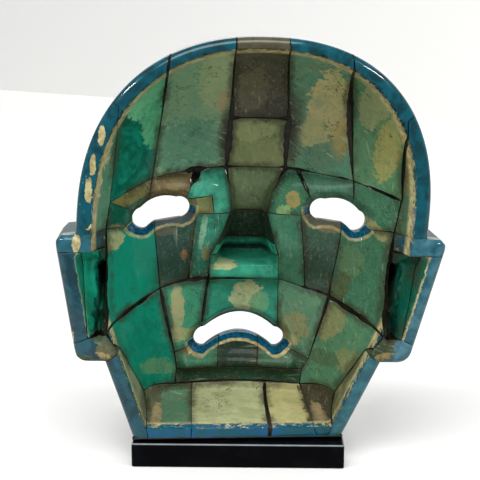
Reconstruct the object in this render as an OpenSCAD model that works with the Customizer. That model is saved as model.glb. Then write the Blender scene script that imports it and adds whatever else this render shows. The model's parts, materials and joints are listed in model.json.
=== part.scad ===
// Stone mosaic mask, standing on a polished stone base.
// Flat-sided stone tiles go through the full thickness of a hollow face shell
// and are glued edge to edge with dark resin. The face looks along -Y and the
// hollow back opens along +Y. Left and right are the wearer's, left is +X.
// The origin is the centre of the base's underside, Z is up, sizes in mm.

/* [Base] */
// Width of the base
base_w = 90; // [84:1:110]
// Depth of the base, front to back
base_d = 60; // [56:1:90]
// Height of the base
base_h = 10.5; // [8:0.5:20]
// Chamfer on the base's edges
base_chamfer = 0.6; // [0.2:0.1:1.5]

/* [Head outline] */
// Half width of the head over the eyes
head_half_w = 73.4; // [68:0.2:78]
// Height of the widest line above the base
brow_line = 95; // [90:1:100]
// Height of the crown above the widest line
crown_h = 74; // [68:0.5:80]
// Roundness of the crown, 2 is an ellipse
crown_power = 2.3; // [2:0.1:3]
// Half width of the chin where it stands on the base
chin_half_w = 44.4; // [40:0.2:50]
// Widening of the jaw per mm of height
jaw_slope = 0.42; // [0.36:0.01:0.46]

/* [Ears] */
// Half width over the ears at their top
ear_half_w = 82; // [80:0.5:84]
// Height of the ears' top and bottom edges
ear_top = 87; // [86:0.5:88]
ear_bottom = 33; // [32:0.5:34]
// Depth of the ear pockets and of the ears outside
pocket_depth = 30; // [24:1:32]
ear_depth = 38; // [36:1:44]

/* [Shell] */
// Depth of the forehead inside and outside
inner_depth = 42; // [40:0.5:43]
outer_depth = 48.5; // [48:0.5:51]
// Width of the rim at the sides, the crown, the ears and the chin
rim_side = 6.6; // [5:0.2:7]
rim_crown = 5; // [4:0.2:6]
rim_ear = 7.4; // [6:0.2:8]
rim_chin = 4.8; // [4:0.2:6]
// Height of the nose above the face
nose_rise = 21; // [16:0.5:22]

/* [Openings] */
// Centre of an eye: distance from the middle, height above the base
eye_centre = [39.7, 94];
// Half length, half height, droop of the ends and tilt of an eye
eye_shape = [8, 4.7, 2.4, -17];
// Centre of the mouth
mouth_centre = [0, 38.6];
// Half length, half height, droop of the corners and tilt of the mouth
mouth_shape = [16, 4.6, 6.5, 0];

/* [Hand work] */
// Sideways lean of the head per mm of height
lean = 0.072; // [0:0.002:0.08]
// Tilt of the ears' line
tilt = 0.024; // [0:0.002:0.03]
// Turn of the mask on its base, in degrees
turn = 4; // [0:0.5:6]
// Width of the resin joints
joint = 0.9; // [0.6:0.1:1.4]

/* [Hidden] */

rim_inset = 5.5;              // from the base's back edge to the mask's rim
rim_y = base_d / 2 - rim_inset;
cells = 6;                    // cells along each side of a tile
strip_cells = 5;              // cells along each resin strip
skin = 0.02;                  // clearance between resin and stone
recess = 0.5;                 // resin lies this much below the stone's faces
bead_h = 0.6;                 // thickness of the glue under the chin
bead_w = 84;
bead_d = 46;
bead_back = 1.5;              // the glue starts this far in from the rim
ear_lean = 0.2255;            // inward slope of the ear's outer edge per mm
snap = 1.5;                   // free edges this near an opening lie on its edge

emerald = "#0f7a58";
sage = "#8fa07c";
olive = "#6e7448";
teal = "#3c8a78";
umber = "#5d4c3a";
slate_green = "#3a4d42";
cream = "#b9b184";
ochre = "#8a6a34";
rim_blue = "#1f6273";
resin_black = "#17110d";
obsidian = "#08080a";

// ---- small functions -------------------------------------------------------

function unit(t) = min(max(t, 0), 1);
// smooth step from 0 to 1
function ramp(t) = let (c = unit(t)) c * c * (3 - 2 * c);
// quarter circle from 0 to 1
function round_up(t) = sqrt(1 - pow(1 - unit(t), 2));
function bell(t) = exp(-t * t);
function mix(a, b, t) = a * (1 - t) + b * t;
// smallest of two values with a rounded changeover of width k
function soft_min(a, b, k) =
    let (h = unit(0.5 + 0.5 * (b - a) / k)) b * (1 - h) + a * h - k * h * (1 - h);

// ---- outline of the head ---------------------------------------------------

function jaw(z) = soft_min(chin_half_w + jaw_slope * z, head_half_w, 8);
function half_width(z) = z >= brow_line ? head_half_w : jaw(z);
function power_norm(a, b) =
    pow(pow(a, crown_power) + pow(b, crown_power), 1 / crown_power);

// a point moved onto the outline, along a ray over the widest line and level below it
function on_outline(p) =
    p[1] >= brow_line
    ? let (s = power_norm(abs(p[0]) / head_half_w, (p[1] - brow_line) / crown_h))
      [p[0] / s, brow_line + (p[1] - brow_line) / s]
    : [sign(p[0]) * jaw(p[1]), p[1]];

// ---- openings --------------------------------------------------------------

function turned(p, centre, a) =
    [(p[0] - centre[0]) * cos(a) + (p[1] - centre[1]) * sin(a),
     (p[1] - centre[1]) * cos(a) - (p[0] - centre[0]) * sin(a)];

// distance from a drooping slot's edge, negative inside
function slot_gap(p, centre, shape) =
    let (q = turned(p, centre, shape[3]),
         u = min(max(q[0], -shape[0]), shape[0]))
    norm([q[0] - u, q[1] + shape[2] * pow(u / shape[0], 2)]) - shape[1];

// a point near the slot's edge moved onto it, from inside or outside
function onto_slot(p, centre, shape, reach) =
    slot_gap(p, centre, shape) > reach ? p :
    let (a = shape[3],
         q = turned(p, centre, a),
         u = min(max(q[0], -shape[0]), shape[0]),
         drop = shape[2] * pow(u / shape[0], 2),
         off = [q[0] - u, q[1] + drop],
         far = off * shape[1] / max(norm(off), 0.01),
         r = [u + far[0], far[1] - drop])
    [centre[0] + r[0] * cos(a) - r[1] * sin(a), centre[1] + r[0] * sin(a) + r[1] * cos(a)];

function onto_openings(p, reach) =
    let (m = onto_slot(p, mouth_centre, mouth_shape, reach),
         e = onto_slot([abs(m[0]), m[1]], eye_centre, eye_shape, reach))
    [m[0] < 0 ? -e[0] : e[0], e[1]];
function clear_of_openings(p) = onto_openings(p, 0);
function at_opening(p) = onto_openings(p, snap);

function eye_gap(x, z) = slot_gap([abs(x), z], eye_centre, eye_shape);
function mouth_gap(x, z) = slot_gap([x, z], mouth_centre, mouth_shape);

// ---- relief: depth of the shell's two faces in front of the rim ------------
// out is 0 for the hollow side and 1 for the face side

function dome(ax, z, out) =
    let (w = half_width(z) + (out ? 0.057 * half_width(z) : -rim_side),
         h = out ? 1.06 * crown_h : crown_h - rim_crown,
         r = power_norm(ax / w, max(z - brow_line, 0) / h),
         boxy = 1 - ramp((z - 4) / 50),
         full = out ? outer_depth : inner_depth)
    full * pow(1 - pow(min(r, 1), 2.6 + 5 * boxy), 0.6 - 0.15 * boxy);

function nose_half_w(z) = 6 + 0.24 * max(95 - z, 0);

// how far a point lies inside the eye socket, 0 to 1
function socket(ax, z, out) =
    let (brow = 109 - 0.1 * max(ax - 20, 0),
         gap = soft_min(brow - z, ax - nose_half_w(z), 16) - 4 * out)
    round_up(gap / 9) * ramp((z - 56) / 26);

function ear_gap(ax, z, rim) =
    let (side = ((ear_half_w - ax) - (85 - z) * ear_lean) / norm([1, ear_lean]),
         top = ear_top - z - 0.05 * (ax - 70))
    soft_min(soft_min(side - rim, top - rim, 5), z - ear_bottom - rim, 5);

function ear_relief(ax, z, out) =
    out
    ? let (g = ear_gap(ax, z, 0))
      g < -0.6 ? 0 : (ear_depth - 4 * (1 - round_up((g + 1) / 6))) * ramp((ax - 55.5) / 3)
    : pocket_depth * round_up(ear_gap(ax, z, rim_ear) / 6) * ramp((ax - 59.2) / 3);

function face_relief(ax, z, out) =
    let (muzzle = 8 * ramp(1 - ax / 36) * ramp(1 - abs(z - 32) / 44),
         cheek = 3 * bell((ax - 36) / 13) * bell((z - 56) / 17),
         a = dome(ax, z, out) + muzzle + cheek,
         eye_plane = (out ? 40.5 : 33) - 0.12 * (ax - 15),
         b = a - socket(ax, z, out) * max(a - eye_plane, 0),
         bridge = nose_half_w(z) + 5.5 * out,
         nose_foot = out ? 64 : 68.5,
         rise = nose_rise * pow(unit((109 - z) / 38), 1.5))
    b + rise * (1 - ramp((ax - bridge + 2.5) / 5)) * ramp((z - nose_foot + 1.5) / 3.5);

function hollow_side(x, z) =
    let (ax = abs(x),
         bar = 3 * ramp((17.5 - ax) / 3) * bell((z - 62.5) / 4),
         lip_bar = 4 * ramp((28 - ax) / 5) * bell((z - 21) / 4),
         a = max(face_relief(ax, z, 0) - bar - lip_bar, ear_relief(ax, z, 0)),
         edge = 4 * (1 - ramp(min(eye_gap(x, z), mouth_gap(x, z)) / 4)))
    max((a + edge) * round_up((z - rim_chin) / 4), 0);

function face_side(x, z) =
    let (ax = abs(x),
         lid = 1.8 * bell((eye_gap(x, z) - 3.2) / 2.2),
         lips = 3.6 * bell((mouth_gap(x, z) - 3.8) / 3.4),
         chin_line = 1.5 * bell((z - 24) / 3) * ramp((26 - ax) / 8))
    max(face_relief(ax, z, 1) + lid + lips - chin_line, ear_relief(ax, z, 1));

// a point of the shell in the mask's own frame, with the head's lean
function placed(p, depth) =
    [p[0] - lean * p[1], -depth, p[1] + tilt * p[0] * p[1] / (p[1] + 15)];

// ---- tiles -----------------------------------------------------------------
// A tile is [corners a b c d, kinds of its sides ab bc cd da, extra points on
// those sides]. Kinds are "j" for a joint, "r" for a side that runs along the
// head's outline and "f" for a free edge, at an opening, an ear or the chin.

// point at t, 0 to 1, along a line through points
function along(pts, t) =
    let (s = unit(t) * (len(pts) - 1), i = min(floor(s), len(pts) - 2))
    mix(pts[i], pts[i + 1], s - i);

// the four sides as lines of points, clear of openings and on the outline where they follow it
function sides(tile) =
    let (k = tile[1], extra = tile[2],
         c = [for (i = [0:3]) k[i] == "r" || k[(i + 3) % 4] == "r"
              ? on_outline(tile[0][i]) : clear_of_openings(tile[0][i])])
    [for (i = [0:3]) concat([c[i]],
                            extra == undef ? [] : [for (p = extra[i]) clear_of_openings(p)],
                            [c[(i + 1) % 4]])];

function side_point(pts, kind, t) =
    let (p = along(pts, t))
    kind == "r" ? on_outline(p) : kind == "f" ? at_opening(p) : clear_of_openings(p);

// point of the patch between the four sides, u along ab and v along bc
function patch(s, k, u, v) =
    mix(side_point(s[0], k[0], u), side_point(s[2], k[2], 1 - u), v)
    + mix(side_point(s[3], k[3], 1 - v), side_point(s[1], k[1], v), u)
    - mix(mix(s[0][0], s[1][0], u), mix(s[3][0], s[2][0], u), v);

// share of a tile that half a joint takes along one side
function joint_share(s, k, side) =
    k[side] != "j" ? 0 :
    let (m = (side + 1) % 4, n = (side + 3) % 4)
    joint / (norm(s[m][0] - s[(m + 1) % 4][0]) + norm(s[n][0] - s[(n + 1) % 4][0]));

// share from lo to 1 - hi at grid line i of n, closer together towards a rim side
function spaced(i, n, lo, hi, rim_lo, rim_hi) =
    let (t = i / n, s = rim_hi ? 1 - pow(1 - t, 1.7) : rim_lo ? pow(t, 1.7) : t)
    lo + (1 - hi - lo) * s;

function tile_grid(tile) =
    let (s = sides(tile), k = tile[1],
         g = [for (i = [0:3]) joint_share(s, k, i)],
         us = [for (i = [0:cells]) spaced(i, cells, g[3], g[1], k[3] == "r", k[1] == "r")],
         vs = [for (i = [0:cells]) spaced(i, cells, g[0], g[2], k[0] == "r", k[2] == "r")])
    [for (v = vs) [for (u = us) patch(s, k, u, v)]];

// the half joint along one side of a tile, as a narrow grid
function strip_grid(tile, side) =
    let (s = sides(tile), k = tile[1],
         g = [for (i = [0:3]) joint_share(s, k, i)],
         slack = g[side] * skin / joint,
         near = side == 0 || side == 3 ? slack : 1 - g[side] + slack,
         far = near + g[side] - 2 * slack,
         upright = side % 2 == 1,
         lo = upright ? g[0] : g[3],
         hi = 1 - (upright ? g[2] : g[1]))
    [for (w = [near, far]) [for (i = [0:strip_cells])
        let (t = lo + (hi - lo) * i / strip_cells)
        upright ? patch(s, k, w, t) : patch(s, k, t, w)]];

// ---- solids between the shell's two faces ----------------------------------

// sign of the grid's turning direction
function handed(grid) =
    let (a = grid[0][0], b = grid[0][len(grid[0]) - 1] - a, d = grid[len(grid) - 1][0] - a)
    b[0] * d[1] - b[1] * d[0];

// hollow side first, then face side, both sunk below the stone's faces
function shell_points(grid, sunk) = concat(
    [for (row = grid) for (p = row) placed(p, hollow_side(p[0], p[1]) + sunk)],
    [for (row = grid) for (p = row) placed(p, face_side(p[0], p[1]) - sunk)]);

function shell_faces(grid, first) =
    let (rows = len(grid), cols = len(grid[0]), half = rows * cols,
         rim = concat([for (i = [0:1:cols - 1]) i],
                      [for (j = [1:1:rows - 1]) j * cols + cols - 1],
                      [for (i = [cols - 2:-1:0]) (rows - 1) * cols + i],
                      [for (j = [rows - 2:-1:1]) j * cols]),
         faces = concat(
             [for (j = [0:rows - 2]) for (i = [0:cols - 2]) let (q = j * cols + i)
                 each [[q, q + 1, q + cols + 1], [q, q + cols + 1, q + cols]]],
             [for (j = [0:rows - 2]) for (i = [0:cols - 2]) let (q = half + j * cols + i)
                 each [[q, q + cols + 1, q + 1], [q, q + cols, q + cols + 1]]],
             [for (n = [0:len(rim) - 1]) let (a = rim[n], b = rim[(n + 1) % len(rim)])
                 each [[a, half + a, half + b], [a, half + b, b]]]),
         turn_over = handed(grid) < 0)
    [for (f = faces) turn_over ? [first + f[2], first + f[1], first + f[0]]
                               : [first + f[0], first + f[1], first + f[2]]];

module on_base() translate([0, rim_y, base_h + bead_h]) rotate([0, 0, turn]) children();

module stone(tile, shade) {
    grid = tile_grid(tile);
    color(shade) on_base()
        polyhedron(shell_points(grid, 0), shell_faces(grid, 0), convexity = 6);
}

// ---- layout of the tiles, [distance from the middle, height] ---------------

// forehead: points past the outline are brought back onto it
crown_l = [13, 172];
crown_r = [-9.5, 172];
temple_l = [40.5, 164];
temple_r = [-36.5, 165];
side_l = [60.5, 141];
side_r = [-61, 137];
side_in_l = [58.2, 140];
side_in_r = [-60.2, 136];
hair_l = [11, 133.5];
hair_r = [-14.5, 133.5];
brow_l = [11.5, 111.5];
brow_r = [-15, 111.5];
arch_l = [24.5, 110.5];
arch_r = [-20, 110.8];
lid_l = [43.5, 107];
lid_r = [-44.5, 107];
corner_l = [60.5, 98];
corner_r = [-63, 101];
ear_joint_l = [61.5, 87];
ear_joint_r = [-61.5, 87];
head_l = on_outline([74, 87]);
head_r = on_outline([-74, 87]);

crown = [[hair_l, hair_r, crown_r, crown_l], "jjrj"];
brow_centre = [[brow_l, brow_r, hair_r, hair_l], "jjjj"];
left_forehead = [[lid_l, brow_l, crown_l, temple_l], "jjrj", [[arch_l], [hair_l], [], []]];
left_temple = [[corner_l, lid_l, temple_l, side_l], "jjrj", [[], [], [], [side_in_l]]];
left_side = [[ear_joint_l, head_l, side_l, side_in_l], "jrjj", [[], [], [], [corner_l]]];
right_forehead = [[brow_r, lid_r, temple_r, crown_r], "jjrj", [[arch_r], [], [], [hair_r]]];
right_temple = [[lid_r, corner_r, side_r, temple_r], "jjrj", [[], [side_in_r], [], []]];
right_side = [[ear_joint_r, head_r, side_r, side_in_r], "jrjj", [[], [], [], [corner_r]]];

// nose and upper lip
bridge_l = [8, 91.5];
bridge_r = [-8, 91.5];
bridge_mid_l = [8.6, 100];
bridge_mid_r = [-9, 100];
nostril_l = [13.5, 77.5];
nostril_r = [-12.5, 77.5];
nose_foot_l = [16, 72.5];
nose_foot_r = [-14.5, 72.5];
philtrum_l = [16, 61];
philtrum_r = [-15.5, 61];
lip_l = [17.2, 35.5];
lip_r = [-17.2, 35.5];

glabella = [[bridge_l, bridge_r, brow_r, brow_l], "jjjj", [[], [bridge_mid_r], [], [bridge_mid_l]]];
nose_ridge = [[nostril_l, nostril_r, bridge_r, bridge_l], "jjjj"];
nose_base = [[nose_foot_l, nose_foot_r, nostril_r, nostril_l], "jjjj"];
philtrum = [[philtrum_l, philtrum_r, nose_foot_r, nose_foot_l], "jjjj"];
upper_lip = [[lip_l, lip_r, philtrum_r, philtrum_l], "fjjj",
             [[[8, 38.6], [0, 40.2], [-8, 38.6]], [], [], []]];

// wearer's left eye, cheek and jaw
eye_in_l = [29, 97];
eye_top_l = [44.7, 96];
eye_out_l = [49.5, 92];
eye_low_l = [49, 86.5];
eye_under_l = [42, 88.5];
eye_tip_l = [27.3, 92.3];
socket_l = [23.5, 91.5];
socket_mid_l = [15.5, 91.5];
socket_fold_l = [17, 99.5];
cheek_low_l = [37.3, 57];
nose_side_l = [25, 60.5];
ear_step_l = [61, 79.5];
ear_mid_l = [60.3, 62];
ear_root_l = [58.5, 46];
ear_foot_l = [52.5, 37];
smile_l = [29, 26.5];
mouth_l = [19.5, 30];
jaw_l = [41.5, 14];
chin_turn_l = [28, 12];
lip_corner_l = [27.5, 19];

left_socket = [[eye_in_l, arch_l, bridge_l, socket_mid_l], "jjjj",
               [[], [brow_l, bridge_mid_l], [], [socket_fold_l]]];
left_eye_corner = [[socket_mid_l, socket_l, eye_in_l, socket_fold_l], "jjjj",
                   [[], [eye_tip_l], [], []]];
left_lid = [[eye_in_l, eye_top_l, lid_l, arch_l], "fjjj", [[[31, 96.5], [38, 96.5]], [], [], []]];
left_outer_lid = [[eye_top_l, eye_out_l, corner_l, lid_l], "fjjj"];
left_outer_eye = [[eye_out_l, eye_low_l, ear_joint_l, corner_l], "fjjj"];
left_nose_side = [[nose_side_l, philtrum_l, bridge_l, socket_l], "jjjj",
                  [[], [nose_foot_l, nostril_l], [socket_mid_l], []]];
left_under_eye = [[cheek_low_l, nose_side_l, socket_l, eye_under_l], "jjjj",
                  [[], [], [eye_tip_l, [31, 91]], []]];
left_cheek = [[ear_root_l, cheek_low_l, eye_under_l, ear_joint_l], "jjjj",
              [[], [], [eye_low_l], [ear_step_l, ear_mid_l]]];
left_smile = [[smile_l, mouth_l, philtrum_l, cheek_low_l], "jjjj", [[], [lip_l], [nose_side_l], []]];
left_jaw = [[jaw_l, chin_turn_l, cheek_low_l, ear_root_l], "jjjj",
            [[], [lip_corner_l, smile_l], [], [ear_foot_l]]];

// wearer's right eye, cheek and jaw
eye_in_r = [-28, 96.5];
eye_top_r = [-44.7, 96];
eye_low_r = [-49, 86.5];
eye_under_r = [-41, 88.5];
eye_tip_r = [-27.3, 92.3];
socket_r = [-22.5, 91.5];
nose_side_r = [-28, 57];
cheek_low_r = [-38.5, 54.5];
ear_step_r = [-61, 79];
ear_mid_r = [-60.3, 62];
ear_root_r = [-58.5, 45];
ear_foot_r = [-52.5, 37];
smile_r = [-32, 24];
mouth_r = [-19.5, 30];
jaw_r = [-42.5, 14.5];
chin_turn_r = [-29, 12];
lip_corner_r = [-29.5, 19];

right_socket = [[eye_in_r, arch_r, bridge_r, socket_r], "jjjj",
                [[], [brow_r, bridge_mid_r], [], [eye_tip_r]]];
right_lid = [[eye_in_r, eye_top_r, lid_r, arch_r], "fjjj", [[[-31, 96.5], [-38, 96.5]], [], [], []]];
right_outer_eye = [[eye_top_r, eye_low_r, ear_joint_r, corner_r], "fjjj",
                   [[[-49.5, 91.5]], [], [], [lid_r]]];
right_nose_side = [[nose_side_r, philtrum_r, bridge_r, socket_r], "jjjj",
                   [[], [nose_foot_r, nostril_r], [], []]];
right_under_eye = [[cheek_low_r, nose_side_r, socket_r, eye_under_r], "jjjj",
                   [[], [], [eye_tip_r, [-31, 91]], []]];
right_cheek = [[ear_root_r, cheek_low_r, eye_under_r, ear_joint_r], "jjjj",
               [[], [], [eye_low_r], [ear_step_r, ear_mid_r]]];
right_smile = [[smile_r, mouth_r, philtrum_r, cheek_low_r], "jjjj", [[], [lip_r], [nose_side_r], []]];
right_jaw = [[jaw_r, chin_turn_r, cheek_low_r, ear_root_r], "jjjj",
             [[], [lip_corner_r, smile_r], [], [ear_foot_r]]];

// lower lip and chin
lip_low_l = [9, 19];
lip_low_r = [-9, 19];
lip_edge_l = [9, 35.5];
lip_edge_r = [-9, 35.5];
floor_l = [20, 0];
floor_r = [-13.5, 0];
floor_far_r = [-34, 0];
floor_back_l = [20, 12];
floor_back_r = [-13.5, 12];
rim_foot_l = [38, 0];
rim_foot_r = [-38.5, 0];
chin_edge_l = [chin_half_w, 0];
chin_edge_r = [-chin_half_w, 0];

lower_lip_left = [[lip_corner_l, lip_low_l, lip_edge_l, smile_l], "jjjj", [[], [], [mouth_l], []]];
lower_lip_centre = [[lip_low_l, lip_low_r, lip_edge_r, lip_edge_l], "jjfj",
                    [[], [], [[0, 36.5]], []]];
lower_lip_right = [[lip_low_r, lip_corner_r, smile_r, lip_edge_r], "jjjj", [[], [], [mouth_r], []]];
chin_front = [[chin_turn_l, chin_turn_r, lip_corner_r, lip_corner_l], "jjjj"];
chin_left = [[rim_foot_l, floor_l, floor_back_l, jaw_l], "fjjj", [[], [], [chin_turn_l], []]];
chin_centre = [[floor_l, floor_r, floor_back_r, floor_back_l], "fjjj"];
chin_right = [[floor_r, floor_far_r, chin_turn_r, floor_back_r], "fjjj"];
chin_corner = [[floor_far_r, rim_foot_r, jaw_r, chin_turn_r], "fjjj"];

// jaw rims and ears
function ear_edge(z) = ear_half_w - (85 - z) * ear_lean;
ear_heel = on_outline([60, ear_bottom]);
ear_toe = [ear_edge(ear_bottom + 3) - 4, ear_bottom];
ear_toe_round = [ear_edge(ear_bottom + 3) - 0.6, ear_bottom + 2];
ear_low = [ear_edge(41), 41];
ear_fold_low = [66, 43.4];
ear_high = [ear_edge(79.5), 79.5];
ear_fold_high = [70.5, 79.5];
ear_tip_round = [ear_edge(84) - 0.4, 84];
ear_tip = [79, ear_top - 0.5];

function mirrored(p) = [-p[0], p[1]];

left_jaw_rim = [[rim_foot_l, chin_edge_l, ear_heel, ear_foot_l], "frjj", [[], [], [], [jaw_l]]];
left_ear_floor = [[ear_heel, ear_toe, ear_low, ear_root_l], "ffjj",
                  [[], [ear_toe_round], [ear_fold_low], [ear_foot_l]]];
left_ear_side = [[ear_fold_low, ear_low, ear_high, ear_fold_high], "jfjj"];
left_ear_face = [[ear_root_l, ear_fold_low, ear_fold_high, ear_step_l], "jjjj",
                 [[], [], [], [ear_mid_l]]];
left_ear_top = [[ear_step_l, ear_high, head_l, ear_joint_l], "jfjj",
                [[ear_fold_high], [ear_tip_round, ear_tip], [], []]];

right_jaw_rim = [[rim_foot_r, chin_edge_r, mirrored(ear_heel), ear_foot_r], "frjj",
                 [[], [], [], [jaw_r]]];
right_ear_floor = [[mirrored(ear_heel), mirrored(ear_toe), mirrored(ear_low), ear_root_r], "ffjj",
                   [[], [mirrored(ear_toe_round)], [mirrored(ear_fold_low)], [ear_foot_r]]];
right_ear_side = [[mirrored(ear_fold_low), mirrored(ear_low), mirrored(ear_high),
                   mirrored(ear_fold_high)], "jfjj"];
right_ear_face = [[ear_root_r, mirrored(ear_fold_low), mirrored(ear_fold_high), ear_step_r],
                  "jjjj", [[], [], [], [ear_mid_r]]];
right_ear_top = [[ear_step_r, mirrored(ear_high), head_r, ear_joint_r], "jfjj",
                 [[mirrored(ear_fold_high)], [mirrored(ear_tip_round), mirrored(ear_tip)], [], []]];

TILES = [
    crown, brow_centre, glabella, left_forehead, left_temple, left_side,
    right_forehead, right_temple, right_side,
    nose_ridge, nose_base, philtrum, upper_lip,
    left_socket, left_eye_corner, left_lid, left_outer_lid, left_outer_eye,
    left_nose_side, left_under_eye, left_cheek, left_smile, left_jaw,
    right_socket, right_lid, right_outer_eye, right_nose_side, right_under_eye,
    right_cheek, right_smile, right_jaw,
    lower_lip_left, lower_lip_centre, lower_lip_right,
    chin_front, chin_left, chin_centre, chin_right, chin_corner,
    left_jaw_rim, right_jaw_rim,
    left_ear_top, left_ear_side, left_ear_face, left_ear_floor,
    right_ear_top, right_ear_side, right_ear_face, right_ear_floor
];

// ---- base, glue and resin --------------------------------------------------

// polished block with chamfered edges all round
module base_block() {
    c = base_chamfer;
    color(obsidian) difference() {
        translate([-base_w / 2, -base_d / 2, 0]) cube([base_w, base_d, base_h]);
        for (side = [0, 1]) mirror([side, 0, 0])
            for (z = [0, base_h]) translate([base_w / 2, 0, z]) rotate([0, 45, 0])
                cube([c * sqrt(2), base_d + 2, c * sqrt(2)], center = true);
        for (side = [0, 1]) mirror([0, side, 0])
            for (z = [0, base_h]) translate([0, base_d / 2, z]) rotate([45, 0, 0])
                cube([base_w + 2, c * sqrt(2), c * sqrt(2)], center = true);
    }
}

// thin bed of epoxy between the chin's underside and the base
module base_epoxy() {
    color(resin_black) on_base()
        translate([-bead_w / 2, -bead_back - bead_d, -bead_h]) cube([bead_w, bead_d, bead_h]);
}

// dark resin in the joints between the tiles, cast in strips
module resin_joints() {
    strips = [for (t = TILES) for (side = [0:3]) if (t[1][side] == "j") strip_grid(t, side)];
    strip_points = 4 * (strip_cells + 1);
    color(resin_black) on_base() polyhedron(
        [for (g = strips) each shell_points(g, recess)],
        [for (n = [0:len(strips) - 1]) each shell_faces(strips[n], n * strip_points)],
        convexity = 10);
}

// ---- tiles by name ---------------------------------------------------------

module crown_tile() stone(crown, umber);
module brow_centre_tile() stone(brow_centre, olive);
module glabella_tile() stone(glabella, olive);
module left_forehead_tile() stone(left_forehead, sage);
module left_temple_tile() stone(left_temple, emerald);
module left_side_tile() stone(left_side, teal);
module right_forehead_tile() stone(right_forehead, sage);
module right_temple_tile() stone(right_temple, teal);
module right_side_tile() stone(right_side, teal);
module nose_ridge_tile() stone(nose_ridge, slate_green);
module nose_base_tile() stone(nose_base, teal);
module philtrum_tile() stone(philtrum, teal);
module upper_lip_tile() stone(upper_lip, emerald);
module left_socket_tile() stone(left_socket, teal);
module left_eye_corner_tile() stone(left_eye_corner, olive);
module left_lid_tile() stone(left_lid, ochre);
module left_outer_lid_tile() stone(left_outer_lid, olive);
module left_outer_eye_tile() stone(left_outer_eye, emerald);
module left_nose_side_tile() stone(left_nose_side, teal);
module left_under_eye_tile() stone(left_under_eye, slate_green);
module left_cheek_tile() stone(left_cheek, emerald);
module left_smile_tile() stone(left_smile, teal);
module left_jaw_tile() stone(left_jaw, emerald);
module right_socket_tile() stone(right_socket, teal);
module right_lid_tile() stone(right_lid, teal);
module right_outer_eye_tile() stone(right_outer_eye, teal);
module right_nose_side_tile() stone(right_nose_side, sage);
module right_under_eye_tile() stone(right_under_eye, slate_green);
module right_cheek_tile() stone(right_cheek, teal);
module right_smile_tile() stone(right_smile, sage);
module right_jaw_tile() stone(right_jaw, olive);
module lower_lip_left_tile() stone(lower_lip_left, teal);
module lower_lip_centre_tile() stone(lower_lip_centre, umber);
module lower_lip_right_tile() stone(lower_lip_right, teal);
module chin_front_tile() stone(chin_front, slate_green);
module chin_left_tile() stone(chin_left, umber);
module chin_centre_tile() stone(chin_centre, cream);
module chin_right_tile() stone(chin_right, cream);
module chin_corner_tile() stone(chin_corner, ochre);
module left_jaw_rim_tile() stone(left_jaw_rim, rim_blue);
module right_jaw_rim_tile() stone(right_jaw_rim, rim_blue);
module left_ear_top_tile() stone(left_ear_top, rim_blue);
module left_ear_side_tile() stone(left_ear_side, emerald);
module left_ear_face_tile() stone(left_ear_face, slate_green);
module left_ear_floor_tile() stone(left_ear_floor, umber);
module right_ear_top_tile() stone(right_ear_top, rim_blue);
module right_ear_side_tile() stone(right_ear_side, emerald);
module right_ear_face_tile() stone(right_ear_face, slate_green);
module right_ear_floor_tile() stone(right_ear_floor, ochre);

base_block();
base_epoxy();
resin_joints();
crown_tile();
brow_centre_tile();
glabella_tile();
left_forehead_tile();
left_temple_tile();
left_side_tile();
right_forehead_tile();
right_temple_tile();
right_side_tile();
nose_ridge_tile();
nose_base_tile();
philtrum_tile();
upper_lip_tile();
left_socket_tile();
left_eye_corner_tile();
left_lid_tile();
left_outer_lid_tile();
left_outer_eye_tile();
left_nose_side_tile();
left_under_eye_tile();
left_cheek_tile();
left_smile_tile();
left_jaw_tile();
right_socket_tile();
right_lid_tile();
right_outer_eye_tile();
right_nose_side_tile();
right_under_eye_tile();
right_cheek_tile();
right_smile_tile();
right_jaw_tile();
lower_lip_left_tile();
lower_lip_centre_tile();
lower_lip_right_tile();
chin_front_tile();
chin_left_tile();
chin_centre_tile();
chin_right_tile();
chin_corner_tile();
left_jaw_rim_tile();
right_jaw_rim_tile();
left_ear_top_tile();
left_ear_side_tile();
left_ear_face_tile();
left_ear_floor_tile();
right_ear_top_tile();
right_ear_side_tile();
right_ear_face_tile();
right_ear_floor_tile();
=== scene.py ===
"""Stone mosaic mask on a polished stone base: stones, resin, lacquer and studio."""

import json
import math

import bmesh
import bpy
import numpy as np
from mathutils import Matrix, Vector


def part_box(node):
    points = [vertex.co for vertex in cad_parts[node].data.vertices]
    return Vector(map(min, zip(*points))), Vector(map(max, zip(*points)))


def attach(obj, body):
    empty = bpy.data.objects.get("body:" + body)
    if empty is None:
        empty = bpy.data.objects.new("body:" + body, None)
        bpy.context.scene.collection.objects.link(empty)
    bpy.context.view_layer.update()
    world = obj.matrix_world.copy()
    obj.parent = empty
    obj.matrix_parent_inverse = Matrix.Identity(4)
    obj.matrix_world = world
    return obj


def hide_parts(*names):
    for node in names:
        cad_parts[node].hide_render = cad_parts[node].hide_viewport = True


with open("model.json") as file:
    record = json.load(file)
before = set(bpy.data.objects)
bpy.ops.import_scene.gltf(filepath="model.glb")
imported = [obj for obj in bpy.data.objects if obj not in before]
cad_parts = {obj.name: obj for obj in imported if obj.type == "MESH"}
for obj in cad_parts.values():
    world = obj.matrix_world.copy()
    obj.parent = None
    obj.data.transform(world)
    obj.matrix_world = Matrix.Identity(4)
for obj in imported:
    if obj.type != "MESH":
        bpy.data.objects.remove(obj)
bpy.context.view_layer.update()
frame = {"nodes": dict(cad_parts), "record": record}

SLOTS = {part["node"]: part["material_slot"] for part in frame["record"]["subparts"]}
STONES = [node.removesuffix("_tile") for node in SLOTS if node.endswith("_tile")]

# ---- sizes, in mm -----------------------------------------------------------

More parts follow.
